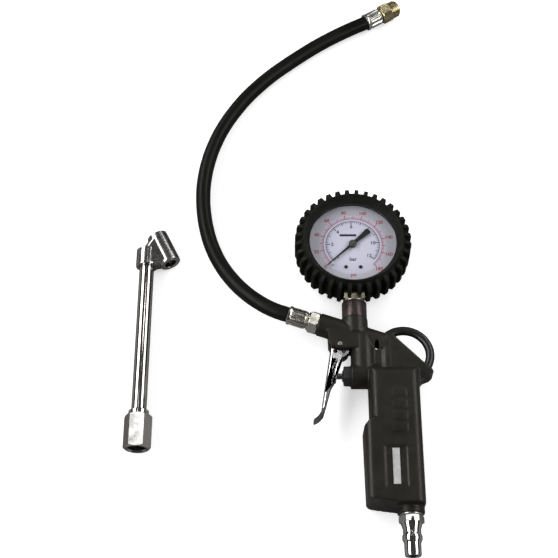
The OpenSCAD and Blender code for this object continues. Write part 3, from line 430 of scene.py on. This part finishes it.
# ---- Inlet plug ----
# Bright chrome-plated steel nose for a quick coupling, with a locking groove and a hexagon.
# It screws up into the grip's foot against a soft metal washer.
def chrome(name, low=0.05, high=0.13, wave=0.12, colour=(0.78, 0.77, 0.76), tint=(0.35, 0.34, 0.33)):
    made, nodes, links, surface = shader(name, colour, low, 1.0)
    place = object_place(nodes)
    links.new(patchy(nodes, links, place, 130, low, high), surface.inputs["Roughness"])
    worn = patchy(nodes, links, place, 420, 0, 1)
    dull = tuple(c * 0.86 for c in colour)
    links.new(two_tone(nodes, links, worn, dull, colour), surface.inputs["Base Color"])
    raised(nodes, links, surface, patchy(nodes, links, place, 160, 0, 1, 1), 0.00003, wave)
    surface.inputs["Specular Tint"].default_value = (*tint, 1)
    return made


bright = chrome("bright_chrome")
foot = gun(31.6, -93.2)
mesh = turned([(3, -9), (6.2, -9), (6.5, -8.6), (6.5, 0.75)] + hexagon(14, 0.8, 5.2, last=False)
              + [(7.0, 5.3), (6.6, 6.2), (5.75, 8.9), (5.65, 9.4), (5.65, 12.0), (5.8, 12.5),
                 (6.15, 13.2), (6.3, 13.7), (6.3, 15.6), (6.2, 16.0), (5.6, 17.2), (5.3, 17.8),
                 (5.3, 24.9), (4.95, 25.8), (4.6, 26.08), (3.5, 26.08), (3.0, 25.6)],
              foot, (0, -1, 0), flats=[(14, 0.8, 5.2)])
new_object("coupling_plug", made_mesh(mesh, "coupling_plug", 24), "gun", "chrome", bright,
           "inlet_plug")


# ---- Riser, washer and socket ----
# The riser is a thick tube with a dark bronze coat. The gauge's brass socket screws into it,
# and shows a short square between riser and boot.
def bronze_coat():
    made, nodes, links, surface = shader("bronze_coat", (0.05, 0.036, 0.034), 0.3, 0.65)
    place = object_place(nodes)
    cloudy = patchy(nodes, links, place, 160, 0, 1)
    links.new(two_tone(nodes, links, cloudy, (0.04, 0.03, 0.028), (0.085, 0.062, 0.06)),
              surface.inputs["Base Color"])
    links.new(patchy(nodes, links, place, 300, 0.24, 0.4), surface.inputs["Roughness"])
    raised(nodes, links, surface, patchy(nodes, links, place, 1500, 0, 1, 3), 0.00006, 0.3)
    return made


mesh = turned([(2.5, -5.4), (6.2, -5.4), (6.5, -5.0), (6.5, 0), (8.2, 0), (8.4, 0.25), (8.4, 11.6),
               (8.1, 12.1), (7.7, 12.2), (6.65, 12.2), (6.65, 1.9), (2.5, 1.9)],
              gun(0, 41.1), (0, 1, 0), steps=96)
new_object("riser_tube", made_mesh(mesh, "riser_tube"), "gun", "bronze", bronze_coat(),
           "gauge_riser")
yellow_socket = turned_metal("yellow_plate_socket", (0.36, 0.32, 0.22), (0.66, 0.6, 0.45), 0.2,
                             0.36, (0, 1, 0))
socket = new_object("socket_block", made_mesh(cad_copy("gauge_socket"), "socket_block"), "gun",
                    "brass", yellow_socket, "gauge_socket")
round_edges(socket, 0.3)
mesh = turned([(6.7, 0), (7.45, 0), (7.6, 0.15), (7.6, 0.85), (7.45, 1), (6.7, 1)],
              gun(0, 53.3), (0, 1, 0))
new_object("riser_ring", made_mesh(mesh, "riser_ring"), "gun", "steel",
           turned_metal("plain_washer", (0.4, 0.38, 0.34), (0.62, 0.6, 0.54), 0.25, 0.4, (0, 1, 0)),
           "riser_washer")


# ---- Rubber boot ----
# Black moulded rubber round the gauge, with thirty-six square lugs that guard its rim. The
# lugs slope in at both ends so that the boot leaves its mould.
def boot_rubber():
    made, nodes, links, surface = shader("moulded_rubber", (0.006, 0.006, 0.005), 0.6)
    place = object_place(nodes)
    dusty = patchy(nodes, links, place, 95, 0, 1)
    links.new(two_tone(nodes, links, dusty, (0.0055, 0.0056, 0.0042), (0.0105, 0.0107, 0.0082)),
              surface.inputs["Base Color"])
    links.new(patchy(nodes, links, place, 260, 0.55, 0.78), surface.inputs["Roughness"])
    raised(nodes, links, surface, patchy(nodes, links, place, 1900, 0, 1, 3), 0.0001, 0.4)
    surface.inputs["Specular IOR Level"].default_value = 0.16
    return made


LUGS, PER_LUG = 36, 6
GAUGE = gun(0, 96.3, -14)
OUTER = [(3.2, 35.3), (5.0, 35.8), (7.0, 36.1), (9.4, 36.1), (17.0, 36.1), (25.4, 36.1),
         (27.6, 35.35), (28.8, 34.6)]
STAND_OUT = {3.2: 0.25, 5.0: 1.9, 7.0: 3.3, 9.4: 4.0, 17.0: 4.0, 25.4: 4.0, 27.6: 3.7, 28.8: 2.0}
profile = ([(24, 0), (31.5, 0), (33.6, 0.8), (35.0, 2.2)] + [(r, z) for z, r in OUTER]
           + [(34.45, 30.0), (34.2, 30.7), (33.8, 31.05), (33.4, 31.0), (33.0, 30.5), (30.5, 25.0),
              (29.85, 24.6), (29.85, 24.05), (33.65, 24.05), (33.65, 2.5), (24, 2.5)])
mesh = turned(profile, Vector((0, 0, 0)), (0, 0, 1), steps=LUGS * PER_LUG)
picked = []
for face in mesh.faces:
    at = face.calc_center_median() / MM
    step = int((degrees(atan2(at.y, at.x)) % 360) / (360 / (LUGS * PER_LUG))) % PER_LUG
    if 3.2 < at.z < 28.8 and hypot(at.x, at.y) > 34.2 and step in (1, 2, 3):
        picked.append(face)
grown = bmesh.ops.extrude_face_region(mesh, geom=picked)["geom"]
bmesh.ops.delete(mesh, geom=picked, context="FACES_ONLY")
for v in (g for g in grown if isinstance(g, bmesh.types.BMVert)):
    height = min(STAND_OUT, key=lambda z: abs(z - v.co.z / MM))
    reach = hypot(v.co.x, v.co.y)
    turn = atan2(v.co.y, v.co.x)
    lug = int((degrees(turn) % 360) / (360 / LUGS))
    middle = radians((lug + 2.5 / PER_LUG) * 360 / LUGS)
    turn = middle + 0.72 * ((turn - middle + pi) % (2 * pi) - pi)
    v.co.x, v.co.y = (cos(turn) * (reach + STAND_OUT[height] * MM),
                      sin(turn) * (reach + STAND_OUT[height] * MM))
bmesh.ops.recalc_face_normals(mesh, faces=mesh.faces)
bmesh.ops.rotate(mesh, verts=mesh.verts, cent=(0, 0, 0), matrix=Matrix.Rotation(radians(0.83), 3, "Z"))
bmesh.ops.translate(mesh, verts=mesh.verts, vec=GAUGE)
matt_rubber = boot_rubber()
boot = new_object("boot", made_mesh(mesh, "boot", 50), "gun", "boot_rubber", matt_rubber,
                  "gauge_boot")
notch = bmesh.new()
bmesh.ops.create_cube(notch, size=1)
bmesh.ops.scale(notch, verts=notch.verts, vec=(16 * MM, 16 * MM, 16 * MM))
bmesh.ops.translate(notch, verts=notch.verts, vec=gun(0, 96.3 - 36.5))
notch_data = bpy.data.meshes.new("notch")
notch.to_mesh(notch_data)
notch.free()
cutter = bpy.data.objects.new("notch", notch_data)
bpy.context.collection.objects.link(cutter)
cut = boot.modifiers.new("socket_hole", "BOOLEAN")
cut.operation = "DIFFERENCE"
cut.object = cutter
settled(boot)
bpy.data.objects.remove(cutter)
boot.data.materials.clear()
boot.data.materials.append(matt_rubber)
round_edges(boot, 0.4, 2, 40)


# ---- Bezel, case, lens and gasket ----
# A pressed black bezel holds a clear plastic lens over the dial; a rubber ring under the lens
# keeps dust out. The case behind is pressed from black steel.
def pressed_steel():
    made, nodes, links, surface = shader("pressed_black_steel", (0.02, 0.02, 0.02), 0.3, 0.0)
    place = object_place(nodes)
    links.new(patchy(nodes, links, place, 120, 0.22, 0.4), surface.inputs["Roughness"])
    cloudy = patchy(nodes, links, place, 70, 0, 1)
    links.new(two_tone(nodes, links, cloudy, (0.013, 0.013, 0.014), (0.024, 0.023, 0.023)),
              surface.inputs["Base Color"])
    raised(nodes, links, surface, patchy(nodes, links, place, 1400, 0, 1, 2), 0.00005, 0.25)
    return made


black_steel = pressed_steel()


def on_gauge(profile, name, slot, material, *nodes_replaced, sharp=35, steps=128):
    mesh = turned(profile, GAUGE, (0, 0, 1), steps=steps)
    return new_object(name, made_mesh(mesh, name, sharp), "gun", slot, material, *nodes_replaced)


on_gauge([(29.95, 23.3), (29.95, 23.8), (30.15, 24.0), (33.2, 24.0), (33.6, 23.6), (33.6, 18.6),
          (32.6, 18.6), (32.6, 23.3)], "bezel", "case_black", black_steel, "bezel_ring")
new_object("case", made_mesh(cad_copy("gauge_case"), "case"), "gun", "case_black", black_steel,
           "gauge_case")


def clear_plastic():
    made = bpy.data.materials.new("clear_plastic")
    made.use_nodes = True
    nodes, links = made.node_tree.nodes, made.node_tree.links
    surface = nodes["Principled BSDF"]
    surface.inputs["Base Color"].default_value = (0.02, 0.022, 0.026, 1)
    surface.inputs["Roughness"].default_value = 0.04
    surface.inputs["Alpha"].default_value = 0.06
    surface.inputs["Specular IOR Level"].default_value = 0.5
    place = object_place(nodes)
    links.new(patchy(nodes, links, place, 60, 0.02, 0.09), surface.inputs["Roughness"])
    return made


on_gauge([(0, 21.82), (32.2, 21.82), (32.35, 21.95), (32.35, 23.1), (32.2, 23.28), (0, 23.28)],
         "lens", "lens_clear", clear_plastic(), "gauge_lens")


def plain_rubber():
    made, nodes, links, surface = shader("seal_rubber", (0.015, 0.015, 0.015), 0.5)
    place = object_place(nodes)
    links.new(patchy(nodes, links, place, 500, 0.4, 0.6), surface.inputs["Roughness"])
    raised(nodes, links, surface, patchy(nodes, links, place, 2500, 0, 1, 2), 0.00004, 0.3)
    return made


seal_rubber = plain_rubber()
on_gauge([(31.05, 21.2), (32.5, 21.2), (32.5, 21.8), (31.05, 21.8)], "lens_seal", "seal_rubber",
         seal_rubber, "lens_gasket")


# ---- Dial ----
# White-painted sheet with a black bar scale inside and a red psi scale outside, each printed
# in thin ink. Two small screws hold it, and a stop pin stands at zero.
def dial_paint():
    made, nodes, links, surface = shader("dial_paint", (0.6, 0.6, 0.68), 0.45)
    place = object_place(nodes)
    middle = nodes.new("ShaderNodeMapping")
    middle.inputs["Location"].default_value = tuple(-GAUGE)
    links.new(place, middle.inputs["Vector"])
    flat = nodes.new("ShaderNodeVectorMath")
    flat.operation = "MULTIPLY"
    flat.inputs[1].default_value = (1, 1, 0)
    links.new(middle.outputs["Vector"], flat.inputs[0])
    reach = nodes.new("ShaderNodeVectorMath")
    reach.operation = "LENGTH"
    links.new(flat.outputs["Vector"], reach.inputs[0])
    # Past 22.2 mm from the middle the dial goes to a duller, darker grey: painted shade, standing in
    # for the shade that the bezel and the boot's rim cast on the dial's outer ring.
    painted_rim_shade = nodes.new("ShaderNodeMapRange")
    painted_rim_shade.interpolation_type = "SMOOTHSTEP"
    painted_rim_shade.inputs["From Min"].default_value = 0.0222
    painted_rim_shade.inputs["From Max"].default_value = 0.0236
    links.new(reach.outputs["Value"], painted_rim_shade.inputs["Value"])
    links.new(two_tone(nodes, links, painted_rim_shade.outputs["Result"], (0.62, 0.62, 0.75), (0.56, 0.55, 0.62)),
              surface.inputs["Base Color"])
    links.new(patchy(nodes, links, place, 400, 0.38, 0.5), surface.inputs["Roughness"])
    raised(nodes, links, surface, patchy(nodes, links, place, 3000, 0, 1, 2), 0.00002, 0.2)
    return made


mesh = turned([(2.5, 18.42), (31.1, 18.42), (31.15, 18.5), (31.15, 18.95), (31.1, 19.0), (2.5, 19.0)],
              GAUGE, (0, 0, 1), steps=128)
stop = turned([(0, 0.3), (0.5, 0.3), (0.5, 2.4), (0.35, 2.58), (0, 2.6)],
              GAUGE + Vector((20.9 * cos(radians(228.5)), 20.9 * sin(radians(228.5)), 18.4)) * MM,
              (0, 0, 1), steps=16)
add_to(mesh, stop)
new_object("dial", made_mesh(mesh, "dial"), "gun", "dial_white", dial_paint(), "gauge_dial")


def ink(name, colour):
    made, nodes, links, surface = shader(name, colour, 0.45)
    place = object_place(nodes)
    thin = patchy(nodes, links, place, 1500, 0, 1)
    links.new(two_tone(nodes, links, thin, colour, tuple(c * 1.35 + 0.01 for c in colour)),
              surface.inputs["Base Color"])
    return made


PRINT_Z = 19.02


def stroke(mesh, length, width, middle, turn):
    """A short printed bar, its middle at a distance and direction from the dial's centre."""
    made = bmesh.ops.create_cube(mesh, size=1)["verts"]
    bmesh.ops.scale(mesh, verts=made, vec=(length * MM, width * MM, 0.03 * MM))
    bmesh.ops.translate(mesh, verts=made, vec=(middle * MM, 0, 0))
    bmesh.ops.rotate(mesh, verts=made, cent=(0, 0, 0), matrix=Matrix.Rotation(radians(turn), 3, "Z"))


def printed_arc(mesh, reach, width, start, sweep):
    low, high = (reach - width / 2) * MM, (reach + width / 2) * MM
    corners = [mesh.verts.new(p) for p in ((low, 0, -0.000015), (high, 0, -0.000015),
                                           (high, 0, 0.000015), (low, 0, 0.000015))]
    face = mesh.faces.new(corners)
    bmesh.ops.rotate(mesh, verts=corners, cent=(0, 0, 0),
                     matrix=Matrix.Rotation(radians(start), 3, "Z"))
    bmesh.ops.spin(mesh, geom=corners + face.edges[:] + [face], cent=(0, 0, 0), axis=(0, 0, 1),
                   angle=radians(sweep), steps=96, use_merge=False)


def lettering(mesh, words, size, x, y):
    """Printed numbers or a unit, centred on a point of the dial."""
    text = bpy.data.curves.new("print", "FONT")
    text.body = words
    text.size = size * MM
    text.align_x = "CENTER"
    text.align_y = "CENTER"
    text.extrude = 0.015 * MM
    text.resolution_u = 4
    text.offset = 0.02 * size * MM
    holder = bpy.data.objects.new("print", text)
    bpy.context.collection.objects.link(holder)
    graph = bpy.context.evaluated_depsgraph_get()
    flat = bpy.data.meshes.new_from_object(holder.evaluated_get(graph))
    flat.transform(Matrix.Translation((x * MM, y * MM, 0)))
    mesh.from_mesh(flat)
    bpy.data.objects.remove(holder)
    bpy.data.curves.remove(text)
    bpy.data.meshes.remove(flat)


ZERO, BAR_STEP = 222.7, 21.72
black, red = bmesh.new(), bmesh.new()
printed_arc(black, 18.5, 0.34, ZERO, -12 * BAR_STEP)
for k in range(61):
    long = 2.9 if k % 10 == 0 else 2.2 if k % 5 == 0 else 1.5
    wide = 0.6 if k % 10 == 0 else 0.5 if k % 5 == 0 else 0.34
    stroke(black, long, wide, 18.5 - long / 2, ZERO - BAR_STEP * k / 5)
for bars in range(0, 13, 2):
    turn = radians(ZERO - BAR_STEP * bars)
    lettering(black, str(bars), 3.6, 14.1 * cos(turn), 14.1 * sin(turn))
lettering(black, "bar", 3.8, 0, -11.4)
stroke(black, 11.5, 1.7, 0, 0)
bmesh.ops.translate(black, verts=black.verts[-8:], vec=(-3.1 * MM, 7.4 * MM, 0))
PSI_STEP = BAR_STEP * 0.0689476
printed_arc(red, 20.4, 0.34, ZERO, -180 * PSI_STEP)
for k in range(91):
    long = 2.9 if k % 10 == 0 else 2.3 if k % 5 == 0 else 1.6
    wide = 0.6 if k % 10 == 0 else 0.46 if k % 5 == 0 else 0.34
    stroke(red, long, wide, 20.4 + long / 2, ZERO - PSI_STEP * 2 * k)
for psi in range(0, 181, 20):
    turn = radians(ZERO - PSI_STEP * psi)
    lettering(red, str(psi), 3.6, 25.9 * cos(turn), 25.9 * sin(turn))
lettering(red, "psi", 3.6, 0, -23.4)
for mesh, name, colour in ((black, "bar_scale", (0.012, 0.012, 0.02)),
                           (red, "psi_scale", (0.36, 0.035, 0.07))):
    bmesh.ops.translate(mesh, verts=mesh.verts, vec=GAUGE + Vector((0, 0, PRINT_Z * MM)))
    new_object(name, made_mesh(mesh, name), "gun", "dial_white", ink(name + "_ink", colour))


# ---- Pointer and dial screws ----
# A black sheet pointer pressed on the pinion's arbor under a small turned hub. Two slotted
# screws clamp the dial to the movement.
def satin_black():
    made, nodes, links, surface = shader("pointer_lacquer", (0.011, 0.011, 0.012), 0.42)
    place = object_place(nodes)
    links.new(patchy(nodes, links, place, 700, 0.36, 0.5), surface.inputs["Roughness"])
    raised(nodes, links, surface, patchy(nodes, links, place, 2800, 0, 1, 2), 0.00002, 0.2)
    return made


lacquer = satin_black()


def from_cad(node, name, body, slot, material, rounded=0.15, sharp=35, segments=2):
    """A piece with its CAD node's shape, merged, smooth where it curves, edges broken."""
    made = new_object(name, made_mesh(cad_copy(node), name, sharp), body, slot, material, node)
    if rounded:
        round_edges(made, rounded, segments)
    return made


from_cad("pointer", "pointer_hand", "pointer_arbor", "pointer_black", lacquer, 0.05)
low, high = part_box("pointer")
mesh = turned([(0, 0), (2.1, 0), (2.45, 0.12), (2.5, 0.3), (2.3, 0.5), (1.3, 0.62), (1.15, 0.5),
               (0.6, 0.5), (0.45, 0.66), (0, 0.68)],
              Vector((GAUGE.x, GAUGE.y, high[2] - 0.0003)), (0, 0, 1), steps=48)


def hub_metal():
    made, nodes, links, surface = shader("hub_metal", (0.12, 0.125, 0.09), 0.35, 0.8)
    place = object_place(nodes)
    cloudy = patchy(nodes, links, place, 900, 0, 1)
    links.new(two_tone(nodes, links, cloudy, (0.07, 0.075, 0.055), (0.2, 0.2, 0.15)),
              surface.inputs["Base Color"])
    links.new(patchy(nodes, links, place, 800, 0.3, 0.45), surface.inputs["Roughness"])
    return made


new_object("pointer_hub", made_mesh(mesh, "pointer_hub"), "pointer_arbor", "pointer_black",
           hub_metal())
from_cad("dial_screws", "dial_screw_pair", "gun", "steel", lacquer, 0.08)


# ---- Movement ----
# Brass plates, pillars, sector and pinion behind the dial, driven by a curled bronze tube
# soldered into the socket's block. All of it is punched or turned and left bare.
def bare_metal(name, dark, light, rough_low, rough_high, grain=60):
    made, nodes, links, surface = shader(name, light, rough_low, 1.0)
    place = object_place(nodes)
    cloudy = patchy(nodes, links, place, 180, 0, 1)
    links.new(two_tone(nodes, links, cloudy, dark, light), surface.inputs["Base Color"])
    drawn = nodes.new("ShaderNodeMapping")
    drawn.inputs["Scale"].default_value = (grain, 2400, grain)
    links.new(place, drawn.inputs["Vector"])
    marks = patchy(nodes, links, drawn.outputs["Vector"], 1, 0, 1, 2)
    links.new(patchy(nodes, links, place, 350, rough_low, rough_high), surface.inputs["Roughness"])
    raised(nodes, links, surface, marks, 0.00002, 0.25)
    return made


bare_brass = bare_metal("bare_brass", (0.42, 0.31, 0.13), (0.66, 0.52, 0.26), 0.24, 0.4)
tube_bronze = bare_metal("tube_bronze", (0.3, 0.19, 0.1), (0.5, 0.34, 0.19), 0.28, 0.45)
bare_steel = bare_metal("bare_steel", (0.32, 0.32, 0.32), (0.56, 0.56, 0.55), 0.2, 0.36)
sprung_steel = bare_metal("sprung_steel", (0.16, 0.17, 0.2), (0.34, 0.35, 0.38), 0.22, 0.4)


def finish_node(material, *node_names):
    for name in node_names:
        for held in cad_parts[name].material_slots:
            held.material = material


finish_node(bare_brass, "back_plate", "front_plate", "movement_pillars", "sector_gear", "pinion",
            "movement_link", "hairspring_stud", "bourdon_tip")
finish_node(sprung_steel, "hairspring")
finish_node(bare_steel, "movement_screws")


CURL_R, CURL_Z, OVAL_R, OVAL_SIDE = 22.6, 13.6, 1.6, 2.4


def flat_tube(name, start, sweep):
    """A stretch of the curled tube: an upright oval section swept round the gauge's middle."""
    mesh = bmesh.new()
    rim = [mesh.verts.new(((CURL_R + OVAL_R * cos(radians(a))) * MM, 0,
                           (CURL_Z + (OVAL_SIDE if a < 180 else -OVAL_SIDE)
                            + OVAL_R * sin(radians(a))) * MM))
           for a in list(range(0, 181, 20)) + list(range(180, 361, 20))]
    section = mesh.faces.new(rim)
    bmesh.ops.rotate(mesh, verts=rim, cent=(0, 0, 0),
                     matrix=Matrix.Rotation(radians(start), 3, "Z"))
    bmesh.ops.spin(mesh, geom=rim + mesh.edges[:] + [section], cent=(0, 0, 0), axis=(0, 0, 1),
                   angle=radians(sweep), steps=max(8, int(sweep / 4)), use_merge=False)
    bmesh.ops.translate(mesh, verts=mesh.verts, vec=GAUGE)
    bmesh.ops.remove_doubles(mesh, verts=mesh.verts, dist=0.0000005)
    bmesh.ops.recalc_face_normals(mesh, faces=mesh.faces)
    return made_mesh(mesh, name)


new_object("bourdon_coil", flat_tube("bourdon_coil", 42, 213), "gun", "bronze", tube_bronze,
           "bourdon_tube")
# the last stretch, which drives the link, is made as a piece of its own
free_tube = bpy.data.objects.new("bourdon_free_end", flat_tube("bourdon_free_end", -25, 67))
bpy.context.collection.objects.link(free_tube)
free_tube.data.materials.append(tube_bronze)
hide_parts("bourdon_tube")
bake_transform(free_tube)


# ---- Trigger and its pin ----
# A chrome-plated casting with a round head, a finger edge rolled over to a wide radius and a
# pocket in each side. It turns on a plain steel pin pressed through the body's lugs.
mirror = chrome("trigger_chrome", 0.1, 0.18, 0.02, (0.74, 0.74, 0.74), (0.3, 0.3, 0.3))
mesh = cad_copy("trigger")
rolled = []
for edge in mesh.edges:
    if len(edge.link_faces) == 2:
        ups = [abs(face.normal.z) > 0.99 for face in edge.link_faces]
        fronts = [face.normal.x < -0.85 for face in edge.link_faces]
        if any(ups) and any(fronts) and edge.calc_length() > 3 * MM:
            rolled.append(edge)
bmesh.ops.bevel(mesh, geom=rolled, offset=2.2 * MM, offset_type="OFFSET", affect="EDGES",
                segments=6, profile=0.5, material=-1)
trigger = new_object("trigger_lever", made_mesh(mesh, "trigger_lever", 40), "trigger_lever",
                     "chrome", mirror, "trigger")
round_edges(trigger, 0.4, 3, 40)
level = trigger.modifiers.new("flat_faces", "WEIGHTED_NORMAL")
level.keep_sharp = True
level.weight = 100
from_cad("trigger_pin", "hinge_pin", "gun", "steel", bare_steel, 0.25, segments=3)


# ---- Valve ----
# A black hexagon gland closes the valve chamber and guides the steel stem. Behind it, out of
# sight, the stem carries a brass poppet on a seat, pressed shut by a coil spring.
from_cad("valve_gland", "gland_nut", "gun", "case_black", black_steel, 0.3, segments=3)
from_cad("gland_washer", "gland_ring", "gun", "seal_rubber", seal_rubber, 0.1)
from_cad("valve_stem", "stem", "valve_stem_set", "steel", bare_steel, 0.15)
finish_node(seal_rubber, "stem_seals", "poppet_seal")
finish_node(bare_brass, "valve_seat", "valve_poppet")
valve_coil = new_object("valve_coil", made_mesh(cad_copy("valve_spring"), "valve_coil"), "gun",
                        "spring_steel", sprung_steel, "valve_spring")
low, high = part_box("valve_spring")
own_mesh(valve_coil)


# ---- Badge ----
# A plain white enamelled strip with a thin sunk border, stuck in the grip's recess.
def enamel():
    made, nodes, links, surface = shader("white_enamel", (0.42, 0.42, 0.42), 0.3)
    place = object_place(nodes)
    cloudy = patchy(nodes, links, place, 300, 0, 1)
    links.new(two_tone(nodes, links, cloudy, (0.36, 0.36, 0.355), (0.46, 0.46, 0.455)),
              surface.inputs["Base Color"])
    links.new(patchy(nodes, links, place, 500, 0.24, 0.4), surface.inputs["Roughness"])
    raised(nodes, links, surface, patchy(nodes, links, place, 1800, 0, 1, 2), 0.00003, 0.3)
    return made


mesh = cad_copy("grip_badge")
top = [face for face in mesh.faces if face.normal.z > 0.9]
bmesh.ops.inset_region(mesh, faces=top, thickness=0.45 * MM, depth=0)
bmesh.ops.inset_region(mesh, faces=top, thickness=0.12 * MM, depth=-0.12 * MM)
new_object("badge_strip", made_mesh(mesh, "badge_strip", 20), "gun", "badge_white",
           enamel(), "grip_badge")


# ---- Inlet washer ----
# A soft metal ring squeezed between the plug's hexagon and the grip.
from_cad("inlet_seal", "inlet_ring", "gun", "zinc_silver",
         turned_metal("inlet_ring_metal", (0.36, 0.36, 0.35), (0.58, 0.57, 0.55), 0.28, 0.42,
                      (0, 1, 0)), 0.12)


# ---- Wand ----
# A chrome-plated brass tube, a hexagon coupling nut that turns on its collar, and a die-cast
# head with one mouth on each side. Rubber seals, pins and a spring sit inside the head.
wand_chrome = chrome("wand_chrome", 0.06, 0.12, 0.015, (0.72, 0.7, 0.68), (0.2, 0.19, 0.18))
nut_chrome = chrome("nut_chrome", 0.1, 0.2, 0.2, (0.7, 0.68, 0.66), (0.3, 0.29, 0.28))
low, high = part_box("wand_tube")
foot = Vector(((low[0] + high[0]) / 2, low[1], (low[2] + high[2]) / 2))
length = (high[1] - low[1]) / MM
mesh = turned([(3.25, 0), (4.85, 0), (5, 0.15), (5, length - 0.15), (4.85, length), (3.25, length)],
              foot, (0, 1, 0), steps=96)
new_object("wand_pipe", made_mesh(mesh, "wand_pipe"), "wand", "chrome", wand_chrome, "wand_tube")
from_cad("wand_nut", "coupling_nut", "wand", "chrome", nut_chrome, 0.35, segments=3)


def head_casting():
    made, nodes, links, surface = shader("head_casting", (0.5, 0.49, 0.47), 0.2, 1.0)
    place = object_place(nodes)
    cloudy = patchy(nodes, links, place, 200, 0, 1)
    links.new(two_tone(nodes, links, cloudy, (0.4, 0.39, 0.375), (0.56, 0.55, 0.53)),
              surface.inputs["Base Color"])
    links.new(patchy(nodes, links, place, 380, 0.14, 0.26), surface.inputs["Roughness"])
    raised(nodes, links, surface, patchy(nodes, links, place, 900, 0, 1, 3), 0.00006, 0.25)
    surface.inputs["Specular Tint"].default_value = (0.3, 0.29, 0.28, 1)
    return made


head_metal = head_casting()
head = new_object("wand_head", made_mesh(cad_copy("chuck_head"), "wand_head"), "wand", "chrome",
                  head_metal, "chuck_head")
cast(head, 0.26, 6)
head.data.materials.clear()
head.data.materials.append(head_metal)
for side in ("lower", "upper"):
    from_cad(side + "_mouth_ring", side + "_mouth_nut", "wand", "chrome", nut_chrome, 0.2)
    from_cad(side + "_chuck_pin", side + "_pin_turned", side + "_pin", "brass", bare_brass, 0.08)
finish_node(seal_rubber, "lower_chuck_seal", "upper_chuck_seal", "wand_washer")

# one spring pushes both pins; it is cut into two halves, one for each pin
mouth_way = Vector((-sin(radians(26)), cos(radians(26)), 0))
low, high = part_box("chuck_spring")
coil_middle = (Vector(low) + Vector(high)) / 2
for side, way in (("lower", mouth_way), ("upper", -mouth_way)):
    mesh = cad_copy("chuck_spring")
    cut = bmesh.ops.bisect_plane(mesh, geom=mesh.verts[:] + mesh.edges[:] + mesh.faces[:],
                                 plane_co=coil_middle, plane_no=way, clear_outer=True)["geom_cut"]
    bmesh.ops.holes_fill(mesh, edges=[g for g in cut if isinstance(g, bmesh.types.BMEdge)])
    coil = new_object(side + "_coil_half", made_mesh(mesh, side + "_coil_half"), "wand",
                      "spring_steel", sprung_steel, "chuck_spring")
    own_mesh(coil)


# ---- Floor and light ----
# A plain pale bench top, with one soft box at each side and a dim room above.
floor_mesh = bmesh.new()
bmesh.ops.create_grid(floor_mesh, x_segments=1, y_segments=1, size=3)
bmesh.ops.translate(floor_mesh, verts=floor_mesh.verts, vec=(0, 0, -0.0002))
floor_data = bpy.data.meshes.new("floor")
floor_mesh.to_mesh(floor_data)
floor_mesh.free()
floor = bpy.data.objects.new("floor", floor_data)
bpy.context.collection.objects.link(floor)
pale, nodes, links, surface = shader("pale_floor", (0.85, 0.85, 0.85), 0.8)
surface.inputs["Specular IOR Level"].default_value = 0.1
ray = nodes.new("ShaderNodeLightPath")
links.new(two_tone(nodes, links, ray.outputs["Is Glossy Ray"], (0.85, 0.85, 0.85),
                   (0.2, 0.2, 0.2)), surface.inputs["Base Color"])
glow = nodes.new("ShaderNodeMath")
glow.operation = "MULTIPLY"
glow.inputs[1].default_value = 0.5
links.new(ray.outputs["Is Camera Ray"], glow.inputs[0])
surface.inputs["Emission Color"].default_value = (1, 1, 1, 1)
links.new(glow.outputs["Value"], surface.inputs["Emission Strength"])
floor_data.materials.append(pale)


def soft_light(name, at, aim, size, power):
    lamp = bpy.data.lights.new(name, "AREA")
    lamp.shape = "RECTANGLE"
    lamp.size, lamp.size_y = size
    lamp.energy = power
    made = bpy.data.objects.new(name, lamp)
    made.location = at
    made.rotation_euler = (Vector(aim) - Vector(at)).to_track_quat("-Z", "Y").to_euler()
    bpy.context.collection.objects.link(made)


soft_light("key", (-0.95, 0.25, 0.85), (0, 0.15, 0), (2.4, 0.55), 22)
soft_light("fill", (0.95, 0.25, 0.85), (0, 0.15, 0), (2.4, 0.55), 15)
# small cards that light up one flat each on the wand's nut, the fittings and the plug
soft_light("nut_card", (-0.206, 0.279, 0.9), (-0.093, -0.045, 0), (0.08, 0.08), 0.06)
soft_light("gun_fitting_card", (0.041, 0.45, 0.9), (0.018, 0.034, 0), (0.08, 0.07), 0.12)
soft_light("free_fitting_card", (0.19, 1.04, 0.9), (0.086, 0.303, 0), (0.1, 0.12), 0.14)
soft_light("plug_card", (0.18, 0.143, 0.9), (0.081, -0.105, 0), (0.05, 0.03), 0.012)

world = bpy.data.worlds.new("studio")
world.use_nodes = True
nodes, links = world.node_tree.nodes, world.node_tree.links
ray = nodes.new("ShaderNodeLightPath")
dim = nodes.new("ShaderNodeMapRange")
dim.inputs["To Min"].default_value = 0.22
dim.inputs["To Max"].default_value = 0.05
links.new(ray.outputs["Is Glossy Ray"], dim.inputs["Value"])
nodes["Background"].inputs["Color"].default_value = (1, 1, 1, 1)
links.new(dim.outputs["Result"], nodes["Background"].inputs["Strength"])
bpy.context.scene.world = world
bpy.context.scene.view_settings.view_transform = "Standard"
